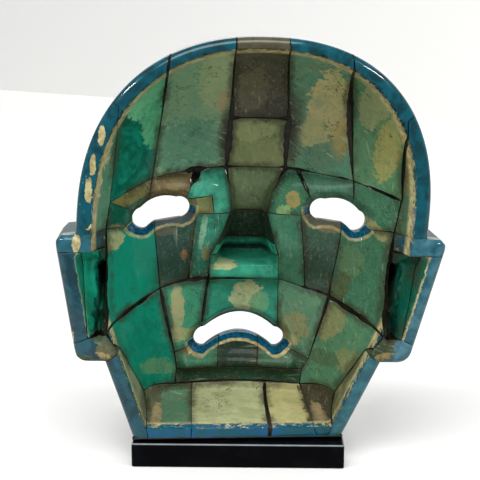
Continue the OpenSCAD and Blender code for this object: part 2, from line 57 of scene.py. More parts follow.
MM = 0.001
BASE_LOW, BASE_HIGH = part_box("base_block")
GLUE_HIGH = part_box("base_epoxy")[1]
RIM_Y = BASE_HIGH.y / MM - 5.5      # back edge of the mask, in from the base's edge
FOOT_Z = GLUE_HIGH.z / MM           # underside of the chin
HEAD_HALF_W = 73.4
BROW_LINE = 95
CROWN_H = 74
CROWN_POWER = 2.3
CHIN_HALF_W = 44.4
JAW_SLOPE = 0.42
EAR_HALF_W = 82
EAR_TOP = 87
EAR_BOTTOM = 33
EAR_LEAN = 0.2255
POCKET_DEPTH = 30
SLANT_DEPTH = 11                    # of the pocket's slanted outer wall
EAR_DEPTH = 38
INNER_DEPTH = 42
OUTER_DEPTH = 48.5
RIM_SIDE = 6.6
RIM_CROWN = 5
RIM_EAR = 7.4
RIM_CHIN = 4.8
NOSE_RISE = 21
EYE = ((39.7, 94), (8, 4.7, 2.4, -17))        # centre; half length, half height, droop, tilt
MOUTH = ((0, 38.6), (16, 4.6, 6.5, 0))
LEAN = 0.072
TILT = 0.024
TURN = math.radians(4)
RIM_ROUND = 3.4
SNAP = 1.5                          # free edges this near an opening lie on its edge

# ---- helpers -----------------------------------------------------------------


def linked(name, data):
    """A new object in the scene."""
    made = bpy.data.objects.new(name, data)
    bpy.context.scene.collection.objects.link(made)
    return made


def attribute_layer(mesh, name, values):
    """A point attribute, of vectors where each value has three parts."""
    vector = values.ndim == 2
    layer = mesh.attributes.new(name, "FLOAT_VECTOR" if vector else "FLOAT", "POINT")
    layer.data.foreach_set("vector" if vector else "value", values.astype(np.float32).ravel())


def unit(t):
    return np.clip(t, 0, 1)


def ramp(t):
    c = unit(t)
    return c * c * (3 - 2 * c)


def round_up(t):
    return np.sqrt(1 - (1 - unit(t)) ** 2)


def bell(t):
    return np.exp(-t * t)


def soft_min(a, b, k):
    h = unit(0.5 + 0.5 * (b - a) / k)
    return b * (1 - h) + a * h - k * h * (1 - h)


# ---- outline of the head and its openings -----------------------------------


def jaw(z):
    return soft_min(CHIN_HALF_W + JAW_SLOPE * z, HEAD_HALF_W, 8)


def half_width(z):
    return np.where(z >= BROW_LINE, HEAD_HALF_W, jaw(z))


def power_norm(a, b):
    return (a ** CROWN_POWER + b ** CROWN_POWER) ** (1 / CROWN_POWER)


def on_outline(p):
    """Points moved onto the outline, along rays over the widest line and level below it."""
    p = np.asarray(p, float)
    x, up = p[..., 0], p[..., 1] - BROW_LINE
    s = np.maximum(power_norm(np.abs(x) / HEAD_HALF_W, np.maximum(up, 0) / CROWN_H), 1e-6)
    above = up >= 0
    return np.stack([np.where(above, x / s, np.sign(x) * jaw(p[..., 1])),
                     np.where(above, BROW_LINE + up / s, p[..., 1])], -1)


def slot_offset(p, opening):
    """Along and across a drooping slot: clamped length, droop there, offset from its spine."""
    (cx, cz), (length, _, droop, tilt) = opening
    c, s = math.cos(math.radians(tilt)), math.sin(math.radians(tilt))
    dx, dz = p[..., 0] - cx, p[..., 1] - cz
    along, across = dx * c + dz * s, dz * c - dx * s
    u = np.clip(along, -length, length)
    drop = droop * (u / length) ** 2
    return u, drop, np.stack([along - u, across + drop], -1)


def slot_gap(p, opening):
    return np.linalg.norm(slot_offset(p, opening)[2], axis=-1) - opening[1][1]


def onto_slot(p, opening, reach):
    (cx, cz), (_, height, _, tilt) = opening
    c, s = math.cos(math.radians(tilt)), math.sin(math.radians(tilt))
    u, drop, off = slot_offset(p, opening)
    size = np.linalg.norm(off, axis=-1, keepdims=True)
    far = off * height / np.maximum(size, 0.01)
    rx, rz = u + far[..., 0], far[..., 1] - drop
    moved = np.stack([cx + rx * c - rz * s, cz + rx * s + rz * c], -1)
    return np.where(size - height > reach, p, moved)


def onto_openings(p, reach):
    m = onto_slot(np.asarray(p, float), MOUTH, reach)
    side = np.where(m[..., :1] < 0, -1.0, 1.0)
    flip = np.concatenate([side, np.ones_like(side)], -1)
    return onto_slot(m * flip, EYE, reach) * flip


def eye_gap(x, z):
    return slot_gap(np.stack([np.abs(x), z], -1), EYE)


def mouth_gap(x, z):
    return slot_gap(np.stack([x, z], -1), MOUTH)


# ---- relief: depth of the shell's two faces in front of the rim --------------


def dome(ax, z, out):
    w = half_width(z) + (0.057 * half_width(z) if out else -RIM_SIDE)
    h = 1.06 * CROWN_H if out else CROWN_H - RIM_CROWN
    r = power_norm(ax / w, np.maximum(z - BROW_LINE, 0) / h)
    boxy = 1 - ramp((z - 4) / 50)
    full = OUTER_DEPTH if out else INNER_DEPTH
    return full * (1 - np.minimum(r, 1) ** (2.6 + 5 * boxy)) ** (0.6 - 0.15 * boxy)


def nose_half_w(z):
    return 6 + 0.24 * np.maximum(95 - z, 0)


def socket(ax, z, out):
    brow = 109 - 0.1 * np.maximum(ax - 20, 0)
    gap = soft_min(brow - z, ax - nose_half_w(z), 16) - 4 * out
    return round_up(gap / 9) * ramp((z - 56) / 26)


def ear_gap(ax, z, rim):
    side = ((EAR_HALF_W - ax) - (85 - z) * EAR_LEAN) / math.hypot(1, EAR_LEAN)
    top = EAR_TOP - z - 0.05 * (ax - 70)
    return soft_min(soft_min(side - rim, top - rim, 5), z - EAR_BOTTOM - rim, 5)


def ear_relief(ax, z, out):
    if out:
        g = ear_gap(ax, z, 0)
        body = (EAR_DEPTH - 4 * (1 - round_up((g + 1) / 6))) * ramp((ax - 55.5) / 3)
        return np.where(g < -0.6, 0, body)
    g = ear_gap(ax, z, RIM_EAR)
    slant = SLANT_DEPTH * ramp(g / 5.5 + 0.1) * (g > 0)
    floor = (POCKET_DEPTH - SLANT_DEPTH) * ramp((g - 5) / 3.5)
    return (slant + floor) * ramp((ax - 59.2) / 3)


def face_relief(ax, z, out):
    muzzle = 8 * ramp(1 - ax / 36) * ramp(1 - np.abs(z - 32) / 44)
    cheek = 3 * bell((ax - 36) / 13) * bell((z - 56) / 17)
    a = dome(ax, z, out) + muzzle + cheek
    eye_plane = (40.5 if out else 33) - 0.12 * (ax - 15)
    b = a - socket(ax, z, out) * np.maximum(a - eye_plane, 0)
    bridge = nose_half_w(z) + 5.5 * out
    nose_foot = 64 if out else 68.5
    rise = NOSE_RISE * unit((109 - z) / 38) ** 1.5
    return b + rise * (1 - ramp((ax - bridge + 2.5) / 5)) * ramp((z - nose_foot + 1.5) / 3.5)


def hollow_side(x, z):
    ax = np.abs(x)
    bar = 3 * ramp((17.5 - ax) / 3) * bell((z - 62.5) / 4)
    lip_bar = 4 * ramp((28 - ax) / 5) * bell((z - 21) / 4)
    a = np.maximum(face_relief(ax, z, 0) - bar - lip_bar, ear_relief(ax, z, 0))
    edge = 4 * (1 - ramp(np.minimum(eye_gap(x, z), mouth_gap(x, z)) / 4))
    return np.maximum((a + edge) * round_up((z - RIM_CHIN) / 4), 0)


def face_side(x, z):
    ax = np.abs(x)
    lid = 1.8 * bell((eye_gap(x, z) - 3.2) / 2.2)
    lips = 3.6 * bell((mouth_gap(x, z) - 3.8) / 3.4)
    chin_line = 1.5 * bell((z - 24) / 3) * ramp((26 - ax) / 8)
    return np.maximum(face_relief(ax, z, 1) + lid + lips - chin_line, ear_relief(ax, z, 1))


def below_opening(x, z):
    """1 under an opening's spine, 0 over it."""
    under_eye = slot_offset(np.stack([np.abs(x), z], -1), EYE)[2][..., 1]
    under_mouth = slot_offset(np.stack([x, z], -1), MOUTH)[2][..., 1]
    offset = np.where(eye_gap(x, z) < mouth_gap(x, z), under_eye, under_mouth)
    return ramp(0.5 - offset / 3)


def rim_gap(x, z):
    """Distance in from the ground rim band, negative on the band."""
    ax = np.abs(x)
    r = power_norm(ax / (half_width(z) - RIM_SIDE),
                   np.maximum(z - BROW_LINE, 0) / (CROWN_H - RIM_CROWN))
    head = (1 - r) * (half_width(z) - RIM_SIDE)
    ear = np.where(ax > 58, ear_gap(ax, z, RIM_EAR), -99)
    return np.minimum(np.maximum(head, ear), z - RIM_CHIN)


def outline_gap(x, z):
    """Distance in from the mask's outer edge, not counting the chin's underside."""
    ax = np.abs(x)
    r = power_norm(ax / half_width(z), np.maximum(z - BROW_LINE, 0) / CROWN_H)
    ear = np.where(ax > 58, ear_gap(ax, z, 0), -99)
    return np.maximum((1 - r) * half_width(z), ear)


def placed(x, z, depth):
    """Where a point of the mask stands over its base, in metres."""
    px, py, pz = x - LEAN * z, -depth, z + TILT * x * z / (z + 15)
    c, s = math.cos(TURN), math.sin(TURN)
    return np.stack([px * c - py * s, RIM_Y + px * s + py * c, pz + FOOT_Z], -1) * MM


# ---- layout of the tiles, [distance from the middle, height] -----------------
# A tile is [corners a b c d, kinds of its sides ab bc cd da, extra points on
# those sides]. Kinds: j joint, r along the outline, f free edge.

TILES = {}

# forehead: points past the outline are brought back onto it
crown_l = [13, 172]
crown_r = [-9.5, 172]
temple_l = [40.5, 164]
temple_r = [-36.5, 165]
side_l = [60.5, 141]
side_r = [-61, 137]
side_in_l = [58.2, 140]
side_in_r = [-60.2, 136]
hair_l = [11, 133.5]
hair_r = [-14.5, 133.5]
brow_l = [11.5, 111.5]
brow_r = [-15, 111.5]
arch_l = [24.5, 110.5]
arch_r = [-20, 110.8]
lid_l = [43.5, 107]
lid_r = [-44.5, 107]
corner_l = [60.5, 98]
corner_r = [-63, 101]
ear_joint_l = [61.5, 87]
ear_joint_r = [-61.5, 87]
head_l = on_outline([74, 87])
head_r = on_outline([-74, 87])

TILES["crown"] = [[hair_l, hair_r, crown_r, crown_l], "jjrj"]
TILES["brow_centre"] = [[brow_l, brow_r, hair_r, hair_l], "jjjj"]
TILES["left_forehead"] = [[lid_l, brow_l, crown_l, temple_l], "jjrj", [[arch_l], [hair_l], [], []]]
TILES["left_temple"] = [[corner_l, lid_l, temple_l, side_l], "jjrj", [[], [], [], [side_in_l]]]
TILES["left_side"] = [[ear_joint_l, head_l, side_l, side_in_l], "jrjj", [[], [], [], [corner_l]]]
TILES["right_forehead"] = [[brow_r, lid_r, temple_r, crown_r], "jjrj", [[arch_r], [], [], [hair_r]]]
TILES["right_temple"] = [[lid_r, corner_r, side_r, temple_r], "jjrj", [[], [side_in_r], [], []]]
TILES["right_side"] = [[ear_joint_r, head_r, side_r, side_in_r], "jrjj", [[], [], [], [corner_r]]]

# nose and upper lip
bridge_l = [8, 91.5]
bridge_r = [-8, 91.5]
bridge_mid_l = [8.6, 100]
bridge_mid_r = [-9, 100]
nostril_l = [13.5, 77.5]
nostril_r = [-12.5, 77.5]
nose_foot_l = [16, 72.5]
nose_foot_r = [-14.5, 72.5]
philtrum_l = [16, 61]
philtrum_r = [-15.5, 61]
lip_l = [17.2, 35.5]
lip_r = [-17.2, 35.5]

TILES["glabella"] = [[bridge_l, bridge_r, brow_r, brow_l], "jjjj",
                     [[], [bridge_mid_r], [], [bridge_mid_l]]]
TILES["nose_ridge"] = [[nostril_l, nostril_r, bridge_r, bridge_l], "jjjj"]
TILES["nose_base"] = [[nose_foot_l, nose_foot_r, nostril_r, nostril_l], "jjjj"]
TILES["philtrum"] = [[philtrum_l, philtrum_r, nose_foot_r, nose_foot_l], "jjjj"]
TILES["upper_lip"] = [[lip_l, lip_r, philtrum_r, philtrum_l], "fjjj",
                      [[[8, 38.6], [0, 40.2], [-8, 38.6]], [], [], []]]

# wearer's left eye, cheek and jaw
eye_in_l = [29, 97]
eye_top_l = [44.7, 96]
eye_out_l = [49.5, 92]
eye_low_l = [49, 86.5]
eye_under_l = [42, 88.5]
eye_tip_l = [27.3, 92.3]
socket_l = [23.5, 91.5]
socket_mid_l = [15.5, 91.5]
socket_fold_l = [17, 99.5]
cheek_low_l = [37.3, 57]
nose_side_l = [25, 60.5]
ear_step_l = [61, 79.5]
ear_mid_l = [60.3, 62]
ear_root_l = [58.5, 46]
ear_foot_l = [52.5, 37]
smile_l = [29, 26.5]
mouth_l = [19.5, 30]
jaw_l = [41.5, 14]
chin_turn_l = [28, 12]
lip_corner_l = [27.5, 19]

TILES["left_socket"] = [[eye_in_l, arch_l, bridge_l, socket_mid_l], "jjjj",
                        [[], [brow_l, bridge_mid_l], [], [socket_fold_l]]]
TILES["left_eye_corner"] = [[socket_mid_l, socket_l, eye_in_l, socket_fold_l], "jjjj",
                            [[], [eye_tip_l], [], []]]
TILES["left_lid"] = [[eye_in_l, eye_top_l, lid_l, arch_l], "fjjj",
                     [[[31, 96.5], [38, 96.5]], [], [], []]]
TILES["left_outer_lid"] = [[eye_top_l, eye_out_l, corner_l, lid_l], "fjjj"]
TILES["left_outer_eye"] = [[eye_out_l, eye_low_l, ear_joint_l, corner_l], "fjjj"]
TILES["left_nose_side"] = [[nose_side_l, philtrum_l, bridge_l, socket_l], "jjjj",
                           [[], [nose_foot_l, nostril_l], [socket_mid_l], []]]
TILES["left_under_eye"] = [[cheek_low_l, nose_side_l, socket_l, eye_under_l], "jjjj",
                           [[], [], [eye_tip_l, [31, 91]], []]]
TILES["left_cheek"] = [[ear_root_l, cheek_low_l, eye_under_l, ear_joint_l], "jjjj",
                       [[], [], [eye_low_l], [ear_step_l, ear_mid_l]]]
TILES["left_smile"] = [[smile_l, mouth_l, philtrum_l, cheek_low_l], "jjjj",
                       [[], [lip_l], [nose_side_l], []]]
TILES["left_jaw"] = [[jaw_l, chin_turn_l, cheek_low_l, ear_root_l], "jjjj",
                     [[], [lip_corner_l, smile_l], [], [ear_foot_l]]]

# wearer's right eye, cheek and jaw
eye_in_r = [-28, 96.5]
eye_top_r = [-44.7, 96]
eye_low_r = [-49, 86.5]
eye_under_r = [-41, 88.5]
eye_tip_r = [-27.3, 92.3]
socket_r = [-22.5, 91.5]
nose_side_r = [-28, 57]
cheek_low_r = [-38.5, 54.5]
ear_step_r = [-61, 79]
ear_mid_r = [-60.3, 62]
ear_root_r = [-58.5, 45]
ear_foot_r = [-52.5, 37]
smile_r = [-32, 24]
mouth_r = [-19.5, 30]
jaw_r = [-42.5, 14.5]
chin_turn_r = [-29, 12]
lip_corner_r = [-29.5, 19]

TILES["right_socket"] = [[eye_in_r, arch_r, bridge_r, socket_r], "jjjj",
                         [[], [brow_r, bridge_mid_r], [], [eye_tip_r]]]
TILES["right_lid"] = [[eye_in_r, eye_top_r, lid_r, arch_r], "fjjj",
                      [[[-31, 96.5], [-38, 96.5]], [], [], []]]
TILES["right_outer_eye"] = [[eye_top_r, eye_low_r, ear_joint_r, corner_r], "fjjj",
                            [[[-49.5, 91.5]], [], [], [lid_r]]]
TILES["right_nose_side"] = [[nose_side_r, philtrum_r, bridge_r, socket_r], "jjjj",
                            [[], [nose_foot_r, nostril_r], [], []]]
TILES["right_under_eye"] = [[cheek_low_r, nose_side_r, socket_r, eye_under_r], "jjjj",
                            [[], [], [eye_tip_r, [-31, 91]], []]]
TILES["right_cheek"] = [[ear_root_r, cheek_low_r, eye_under_r, ear_joint_r], "jjjj",
                        [[], [], [eye_low_r], [ear_step_r, ear_mid_r]]]
TILES["right_smile"] = [[smile_r, mouth_r, philtrum_r, cheek_low_r], "jjjj",
                        [[], [lip_r], [nose_side_r], []]]
TILES["right_jaw"] = [[jaw_r, chin_turn_r, cheek_low_r, ear_root_r], "jjjj",
                      [[], [lip_corner_r, smile_r], [], [ear_foot_r]]]

# lower lip and chin
lip_low_l = [9, 19]
lip_low_r = [-9, 19]
lip_edge_l = [9, 35.5]
lip_edge_r = [-9, 35.5]
floor_l = [20, 0]
floor_r = [-13.5, 0]
floor_far_r = [-34, 0]
floor_back_l = [20, 12]
floor_back_r = [-13.5, 12]
rim_foot_l = [38, 0]
rim_foot_r = [-38.5, 0]
chin_edge_l = [CHIN_HALF_W, 0]
chin_edge_r = [-CHIN_HALF_W, 0]

TILES["lower_lip_left"] = [[lip_corner_l, lip_low_l, lip_edge_l, smile_l], "jjjj",
                           [[], [], [mouth_l], []]]
TILES["lower_lip_centre"] = [[lip_low_l, lip_low_r, lip_edge_r, lip_edge_l], "jjfj",
                             [[], [], [[0, 36.5]], []]]
TILES["lower_lip_right"] = [[lip_low_r, lip_corner_r, smile_r, lip_edge_r], "jjjj",
                            [[], [], [mouth_r], []]]
TILES["chin_front"] = [[chin_turn_l, chin_turn_r, lip_corner_r, lip_corner_l], "jjjj"]
TILES["chin_left"] = [[rim_foot_l, floor_l, floor_back_l, jaw_l], "fjjj",
                      [[], [], [chin_turn_l], []]]
TILES["chin_centre"] = [[floor_l, floor_r, floor_back_r, floor_back_l], "fjjj"]
TILES["chin_right"] = [[floor_r, floor_far_r, chin_turn_r, floor_back_r], "fjjj"]
TILES["chin_corner"] = [[floor_far_r, rim_foot_r, jaw_r, chin_turn_r], "fjjj"]

# jaw rims and ears
def ear_edge(z):
    return EAR_HALF_W - (85 - z) * EAR_LEAN

ear_heel = on_outline([60, EAR_BOTTOM])
ear_toe = [ear_edge(EAR_BOTTOM + 3) - 4, EAR_BOTTOM]
ear_toe_round = [ear_edge(EAR_BOTTOM + 3) - 0.6, EAR_BOTTOM + 2]
ear_low = [ear_edge(41), 41]
ear_fold_low = [66, 43.4]
ear_high = [ear_edge(79.5), 79.5]
ear_fold_high = [70.5, 79.5]
ear_tip_round = [ear_edge(84) - 0.4, 84]
ear_tip = [79, EAR_TOP - 0.5]

def mirrored(p):
    return [-p[0], p[1]]


TILES["left_jaw_rim"] = [[rim_foot_l, chin_edge_l, ear_heel, ear_foot_l], "frjj",
                         [[], [], [], [jaw_l]]]
TILES["left_ear_floor"] = [[ear_heel, ear_toe, ear_low, ear_root_l], "ffjj",
                           [[], [ear_toe_round], [ear_fold_low], [ear_foot_l]]]
TILES["left_ear_side"] = [[ear_fold_low, ear_low, ear_high, ear_fold_high], "jfjj"]
TILES["left_ear_face"] = [[ear_root_l, ear_fold_low, ear_fold_high, ear_step_l], "jjjj",
                          [[], [], [], [ear_mid_l]]]
TILES["left_ear_top"] = [[ear_step_l, ear_high, head_l, ear_joint_l], "jfjj",
                         [[ear_fold_high], [ear_tip_round, ear_tip], [], []]]

TILES["right_jaw_rim"] = [[rim_foot_r, chin_edge_r, mirrored(ear_heel), ear_foot_r], "frjj",
                          [[], [], [], [jaw_r]]]
TILES["right_ear_floor"] = [[mirrored(ear_heel), mirrored(ear_toe), mirrored(ear_low), ear_root_r], "ffjj",
                            [[], [mirrored(ear_toe_round)], [mirrored(ear_fold_low)], [ear_foot_r]]]
TILES["right_ear_side"] = [[mirrored(ear_fold_low), mirrored(ear_low), mirrored(ear_high),
                            mirrored(ear_fold_high)], "jfjj"]
TILES["right_ear_face"] = [[ear_root_r, mirrored(ear_fold_low), mirrored(ear_fold_high), ear_step_r],
                           "jjjj", [[], [], [], [ear_mid_r]]]
TILES["right_ear_top"] = [[ear_step_r, mirrored(ear_high), head_r, ear_joint_r], "jfjj",
                          [[mirrored(ear_fold_high)], [mirrored(ear_tip_round), mirrored(ear_tip)], [], []]]

# Where the joints are wider: centre, half sizes of the wide stretch, extra width
THIN_JOINT = 0.24
WIDE_JOINTS = [
    (-40.5, 138, 5, 30, 2.125),     # right forehead to right temple
    (-61.5, 120, 4, 16, 1.125),     # right temple to right side
    (39, 150, 5, 18, 1),            # left forehead to left temple
    (11.8, 124, 4, 13, 2.75),       # pools beside the brow stone
    (-16.5, 124, 4, 13, 4),
    (12, 152, 3, 20, 0.625),
    (-12, 152, 3, 20, 0.75),
    (-21.5, 104, 4, 8, 2.125),      # inner end of the right eye
    (24.5, 109, 4, 3.5, 3.25),      # knot over the left eye
    (49, 50, 13, 6, 1.75),          # left cheek to jaw
    (33, 40, 5, 16, 1),             # left smile to jaw
    (-48, 49, 12, 7, 1.625),        # right cheek to jaw
    (-36, 38, 4, 14, 0.5),
    (34, 72, 4, 18, 0.375),
    (23, 59, 6, 4, 1.5),            # under the left nostril
    (8, 60.5, 11, 2.5, 1.125),
    (18, 48, 3, 12, 1),
    (-33, 56, 7, 3, 0.75),
    (-13.5, 6, 3, 8, 1.25),         # between the chin's two pale stones
    # The wide resin at the roots of the ears is partly a real joint and partly painted shade of the ear
    # pockets.
    (61.5, 60, 3, 22, 1.5),         # roots of the ears
    (-61.5, 60, 3, 22, 1.75),
    (0, 74.5, 14, 3, 0.625),
    (-55, 103, 8, 3, 1),
    (0, 12.5, 34, 2.5, 0.625),
]


def joint_width(p):
    width = np.full(p.shape[:-1], THIN_JOINT)
    for x, z, half_x, half_z, extra in WIDE_JOINTS:
        reach = np.hypot((p[..., 0] - x) / half_x, (p[..., 1] - z) / half_z)
        width = width + extra * bell(reach ** 1.5)
    ripple = 0.16 * np.sin(0.9 * p[..., 0] + 1.7 * np.sin(0.35 * p[..., 1])) \
        + 0.12 * np.sin(1.3 * p[..., 1] + 0.8 * p[..., 0])
    return width * (1 + ripple)


# ---- tiles as grids ----------------------------------------------------------


def along(points, t):
    """Points at t, 0 to 1, along a line through points."""
    points = np.asarray(points, float)
    s = unit(t) * (len(points) - 1)
    steps = np.arange(len(points))
    return np.stack([np.interp(s, steps, points[:, k]) for k in (0, 1)], -1)


def sides(tile):
    kinds, extra = tile[1], tile[2] if len(tile) > 2 else [[], [], [], []]
    corners = [on_outline(tile[0][i]) if "r" in (kinds[i], kinds[i - 1])
               else onto_openings(tile[0][i], 0) for i in range(4)]
    return [[corners[i]] + [onto_openings(p, 0) for p in extra[i]] + [corners[(i + 1) % 4]]
            for i in range(4)]


def side_point(points, kind, t):
    p = along(points, t)
    return on_outline(p) if kind == "r" else onto_openings(p, SNAP if kind == "f" else 0)


def patch(lines, kinds, u, v):
    """Points of the patch between a tile's four sides, u along ab and v along bc."""
    a, b, c, d = (lines[i][0] for i in range(4))
    uu, vv = u[..., None], v[..., None]
    across = side_point(lines[0], kinds[0], u) * (1 - vv) \
        + side_point(lines[2], kinds[2], 1 - u) * vv
    upward = side_point(lines[3], kinds[3], 1 - v) * (1 - uu) \
        + side_point(lines[1], kinds[1], v) * uu
    flat = (a * (1 - uu) + b * uu) * (1 - vv) + (d * (1 - uu) + c * uu) * vv
    return across + upward - flat


def side_share(lines, kinds, side, t):
    """Share of the tile's width that half the joint takes along a side, at t along it."""
    if kinds[side] != "j":
        return np.zeros_like(t)
    m, n = (side + 1) % 4, (side + 3) % 4
    span = np.linalg.norm(np.subtract(lines[m][0], lines[m][-1])) \
        + np.linalg.norm(np.subtract(lines[n][0], lines[n][-1]))
    at = t if side < 2 else 1 - t
    return joint_width(side_point(lines[side], kinds[side], at)) / span


CELLS = 40
EDGE_STEPS = (0, 0.1, 0.22, 0.36)      # mm from a tile's edge, for its rounding


def steps_across(length, rim_low, rim_high):
    """Grid lines across a tile: fine at both edges, and closer together towards a rim."""
    t = np.linspace(0, 1, CELLS - 5)
    if rim_high:
        t = 1 - (1 - t) ** 1.7
    elif rim_low:
        t = t ** 1.7
    fine = np.array(EDGE_STEPS) / max(length, 4)
    inner = fine[-1] + (1 - 2 * fine[-1]) * t[1:-1]
    return np.concatenate([fine, inner, 1 - fine[::-1]])


def tile_grid(tile):
    kinds, lines = tile[1], sides(tile)
    size = [np.linalg.norm(np.subtract(line[0], line[-1])) for line in lines]
    su = steps_across((size[0] + size[2]) / 2, kinds[3] == "r", kinds[1] == "r")
    sv = steps_across((size[1] + size[3]) / 2, kinds[0] == "r", kinds[2] == "r")
    lo_u, hi_u = side_share(lines, kinds, 3, sv), side_share(lines, kinds, 1, sv)
    lo_v, hi_v = side_share(lines, kinds, 0, su), side_share(lines, kinds, 2, su)
    u = lo_u[:, None] + (1 - lo_u - hi_u)[:, None] * su[None, :]
    v = lo_v[None, :] + (1 - lo_v - hi_v)[None, :] * sv[:, None]
    return patch(lines, kinds, u, v)


def edge_distance(grid):
    """Distance of each grid point from the tile's own edge, along its grid lines."""
    def from_ends(g):
        run = np.linalg.norm(np.diff(g, axis=1), axis=-1)
        total = np.concatenate([np.zeros((len(g), 1)), np.cumsum(run, 1)], 1)
        return np.minimum(total, total[:, -1:] - total)
    return np.minimum(from_ends(grid), from_ends(grid.swapaxes(0, 1)).T)


def unevenness(x, z, seed):
    """Gentle waves that hand grinding leaves, about one unit high."""
    rng = np.random.default_rng(seed)
    total = np.zeros_like(x)
    for wavelength in (7, 10, 14, 19, 27):
        angle, phase = rng.uniform(0, math.tau, 2)
        wave = np.sin((x * math.cos(angle) + z * math.sin(angle)) * math.tau / wavelength
                      + phase)
        total = total + wave * wavelength / 27
    return total / 2


def mesh_object(name, points, faces, attributes):
    mesh = bpy.data.meshes.new(name)
    mesh.from_pydata(points.tolist(), [], faces)
    work = bmesh.new()
    work.from_mesh(mesh)
    bmesh.ops.recalc_face_normals(work, faces=work.faces)
    work.to_mesh(mesh)
    work.free()
    for label, values in attributes.items():
        attribute_layer(mesh, label, values)
    mesh.shade_smooth()
    mesh.set_sharp_from_angle(angle=math.radians(48))
    return linked(name, mesh)


def grid_shell(grid, hollow, face, walls):
    """Closed solid over a grid: hollow side, face side and the walls round its edge."""
    rows, cols = grid.shape[:2]
    index = np.arange(rows * cols).reshape(rows, cols)
    half = rows * cols
    x, z = grid[..., 0], grid[..., 1]
    rim = np.concatenate([index[0, :-1], index[:-1, -1], index[-1, :0:-1], index[:0:-1, 0]])
    depth = [hollow.ravel(), face.ravel()]
    fx, fz = [x.ravel(), x.ravel()], [z.ravel(), z.ravel()]
    side = [np.zeros(half), np.ones(half)]
    for level in range(1, walls):
        share = level / walls
        depth.append((hollow.ravel() * (1 - share) + face.ravel() * share)[rim])
        fx.append(x.ravel()[rim])
        fz.append(z.ravel()[rim])
        side.append(np.full(len(rim), share))
    quads = np.stack([index[:-1, :-1], index[:-1, 1:], index[1:, 1:], index[1:, :-1]], -1)
    quads = quads.reshape(-1, 4)
    rings = [rim] + [2 * half + np.arange(len(rim)) + k * len(rim) for k in range(walls - 1)] \
        + [rim + half]
    wall = [np.stack([a, np.roll(a, -1), np.roll(b, -1), b], -1)
            for a, b in zip(rings[:-1], rings[1:])]
    faces = np.concatenate([quads, quads[:, ::-1] + half] + wall)
    fx, fz = np.concatenate(fx), np.concatenate(fz)
    depth, side = np.concatenate(depth), np.concatenate(side)
    return fx, fz, depth, side, faces.tolist()


def edge_drop(x, z):
    """How far the rim's outer edge is rounded away."""
    return RIM_ROUND * (1 - round_up((outline_gap(x, z) + 0.02) / RIM_ROUND))


def cut_stone(name, tile, seed):
    """One tile of the shell, its edges rounded and its faces a little uneven."""
    grid = tile_grid(tile)
    x, z = grid[..., 0], grid[..., 1]
    near = edge_distance(grid)
    gap = rim_gap(x, z)
    hole = np.minimum(eye_gap(x, z), mouth_gap(x, z))
    free = ramp(gap / 5) * ramp(hole / 4)
    rng = np.random.default_rng(seed)
    tip = rng.uniform(-1, 1, 3) * (0.12, 0.011, 0.011)
    middle = grid.mean((0, 1))
    step = tip[0] + tip[1] * (x - middle[0]) + tip[2] * (z - middle[1])
    waves = 0.17 * unevenness(x, z, seed + 50)
    round_edge = 0.16 * (1 - round_up(near / 0.34))
    hollow = np.maximum(hollow_side(x, z) + (step + waves) * free, 0.02)
    hollow = hollow + np.maximum(round_edge, edge_drop(x, z))
    face = face_side(x, z)
    face = np.maximum(face + 0.5 * waves * free - round_edge, hollow + 1.2)
    fx, fz, depth, side, faces = grid_shell(grid, hollow, face, 3)
    spots = np.stack([fx, fz, depth], -1)
    inward = np.concatenate([near.ravel(), near.ravel(), np.zeros(len(fx) - 2 * near.size)])
    edges = np.stack([rim_gap(fx, fz), np.minimum(eye_gap(fx, fz), mouth_gap(fx, fz)), side], -1)
    return mesh_object(name, placed(fx, fz, depth), faces,
                       {"spot": spots, "edges": edges, "under": below_opening(fx, fz),
                        "near": inward})

# ---- resin in the joints -----------------------------------------------------


def geometry_tree(name, inputs):
    """An empty Geometry Nodes tree with a Geometry input and output and named inputs."""
    tree = bpy.data.node_groups.new(name, "GeometryNodeTree")
    tree.interface.new_socket("Geometry", in_out="INPUT", socket_type="NodeSocketGeometry")
    for label, kind in inputs.items():
        tree.interface.new_socket(label, in_out="INPUT", socket_type=kind)
    tree.interface.new_socket("Geometry", in_out="OUTPUT", socket_type="NodeSocketGeometry")
    start, end = tree.nodes.new("NodeGroupInput"), tree.nodes.new("NodeGroupOutput")

    def node(kind, settings=None, links=None, output=0):
        made = tree.nodes.new(kind)
        for key, value in (settings or {}).items():
            setattr(made, key, value)
        for key, value in (links or {}).items():
            if isinstance(value, bpy.types.NodeSocket):
                tree.links.new(value, made.inputs[key])
            else:
                made.inputs[key].default_value = value
        return made.outputs[output]
    return tree, node, start, end


def baked(name, source, tree, values):
    """The plain mesh that a tree makes of an object; the modifier is gone afterwards."""
    modifier = source.modifiers.new(tree.name, "NODES")
    modifier.node_group = tree
    names = {item.name: item.identifier for item in tree.interface.items_tree
             if item.in_out == "INPUT"}
    for label, value in values.items():
        modifier[names[label]] = value
    evaluated = source.evaluated_get(bpy.context.evaluated_depsgraph_get())
    mesh = bpy.data.meshes.new_from_object(evaluated)
    source.modifiers.clear()
    bpy.data.objects.remove(source)
    return linked(name, mesh)


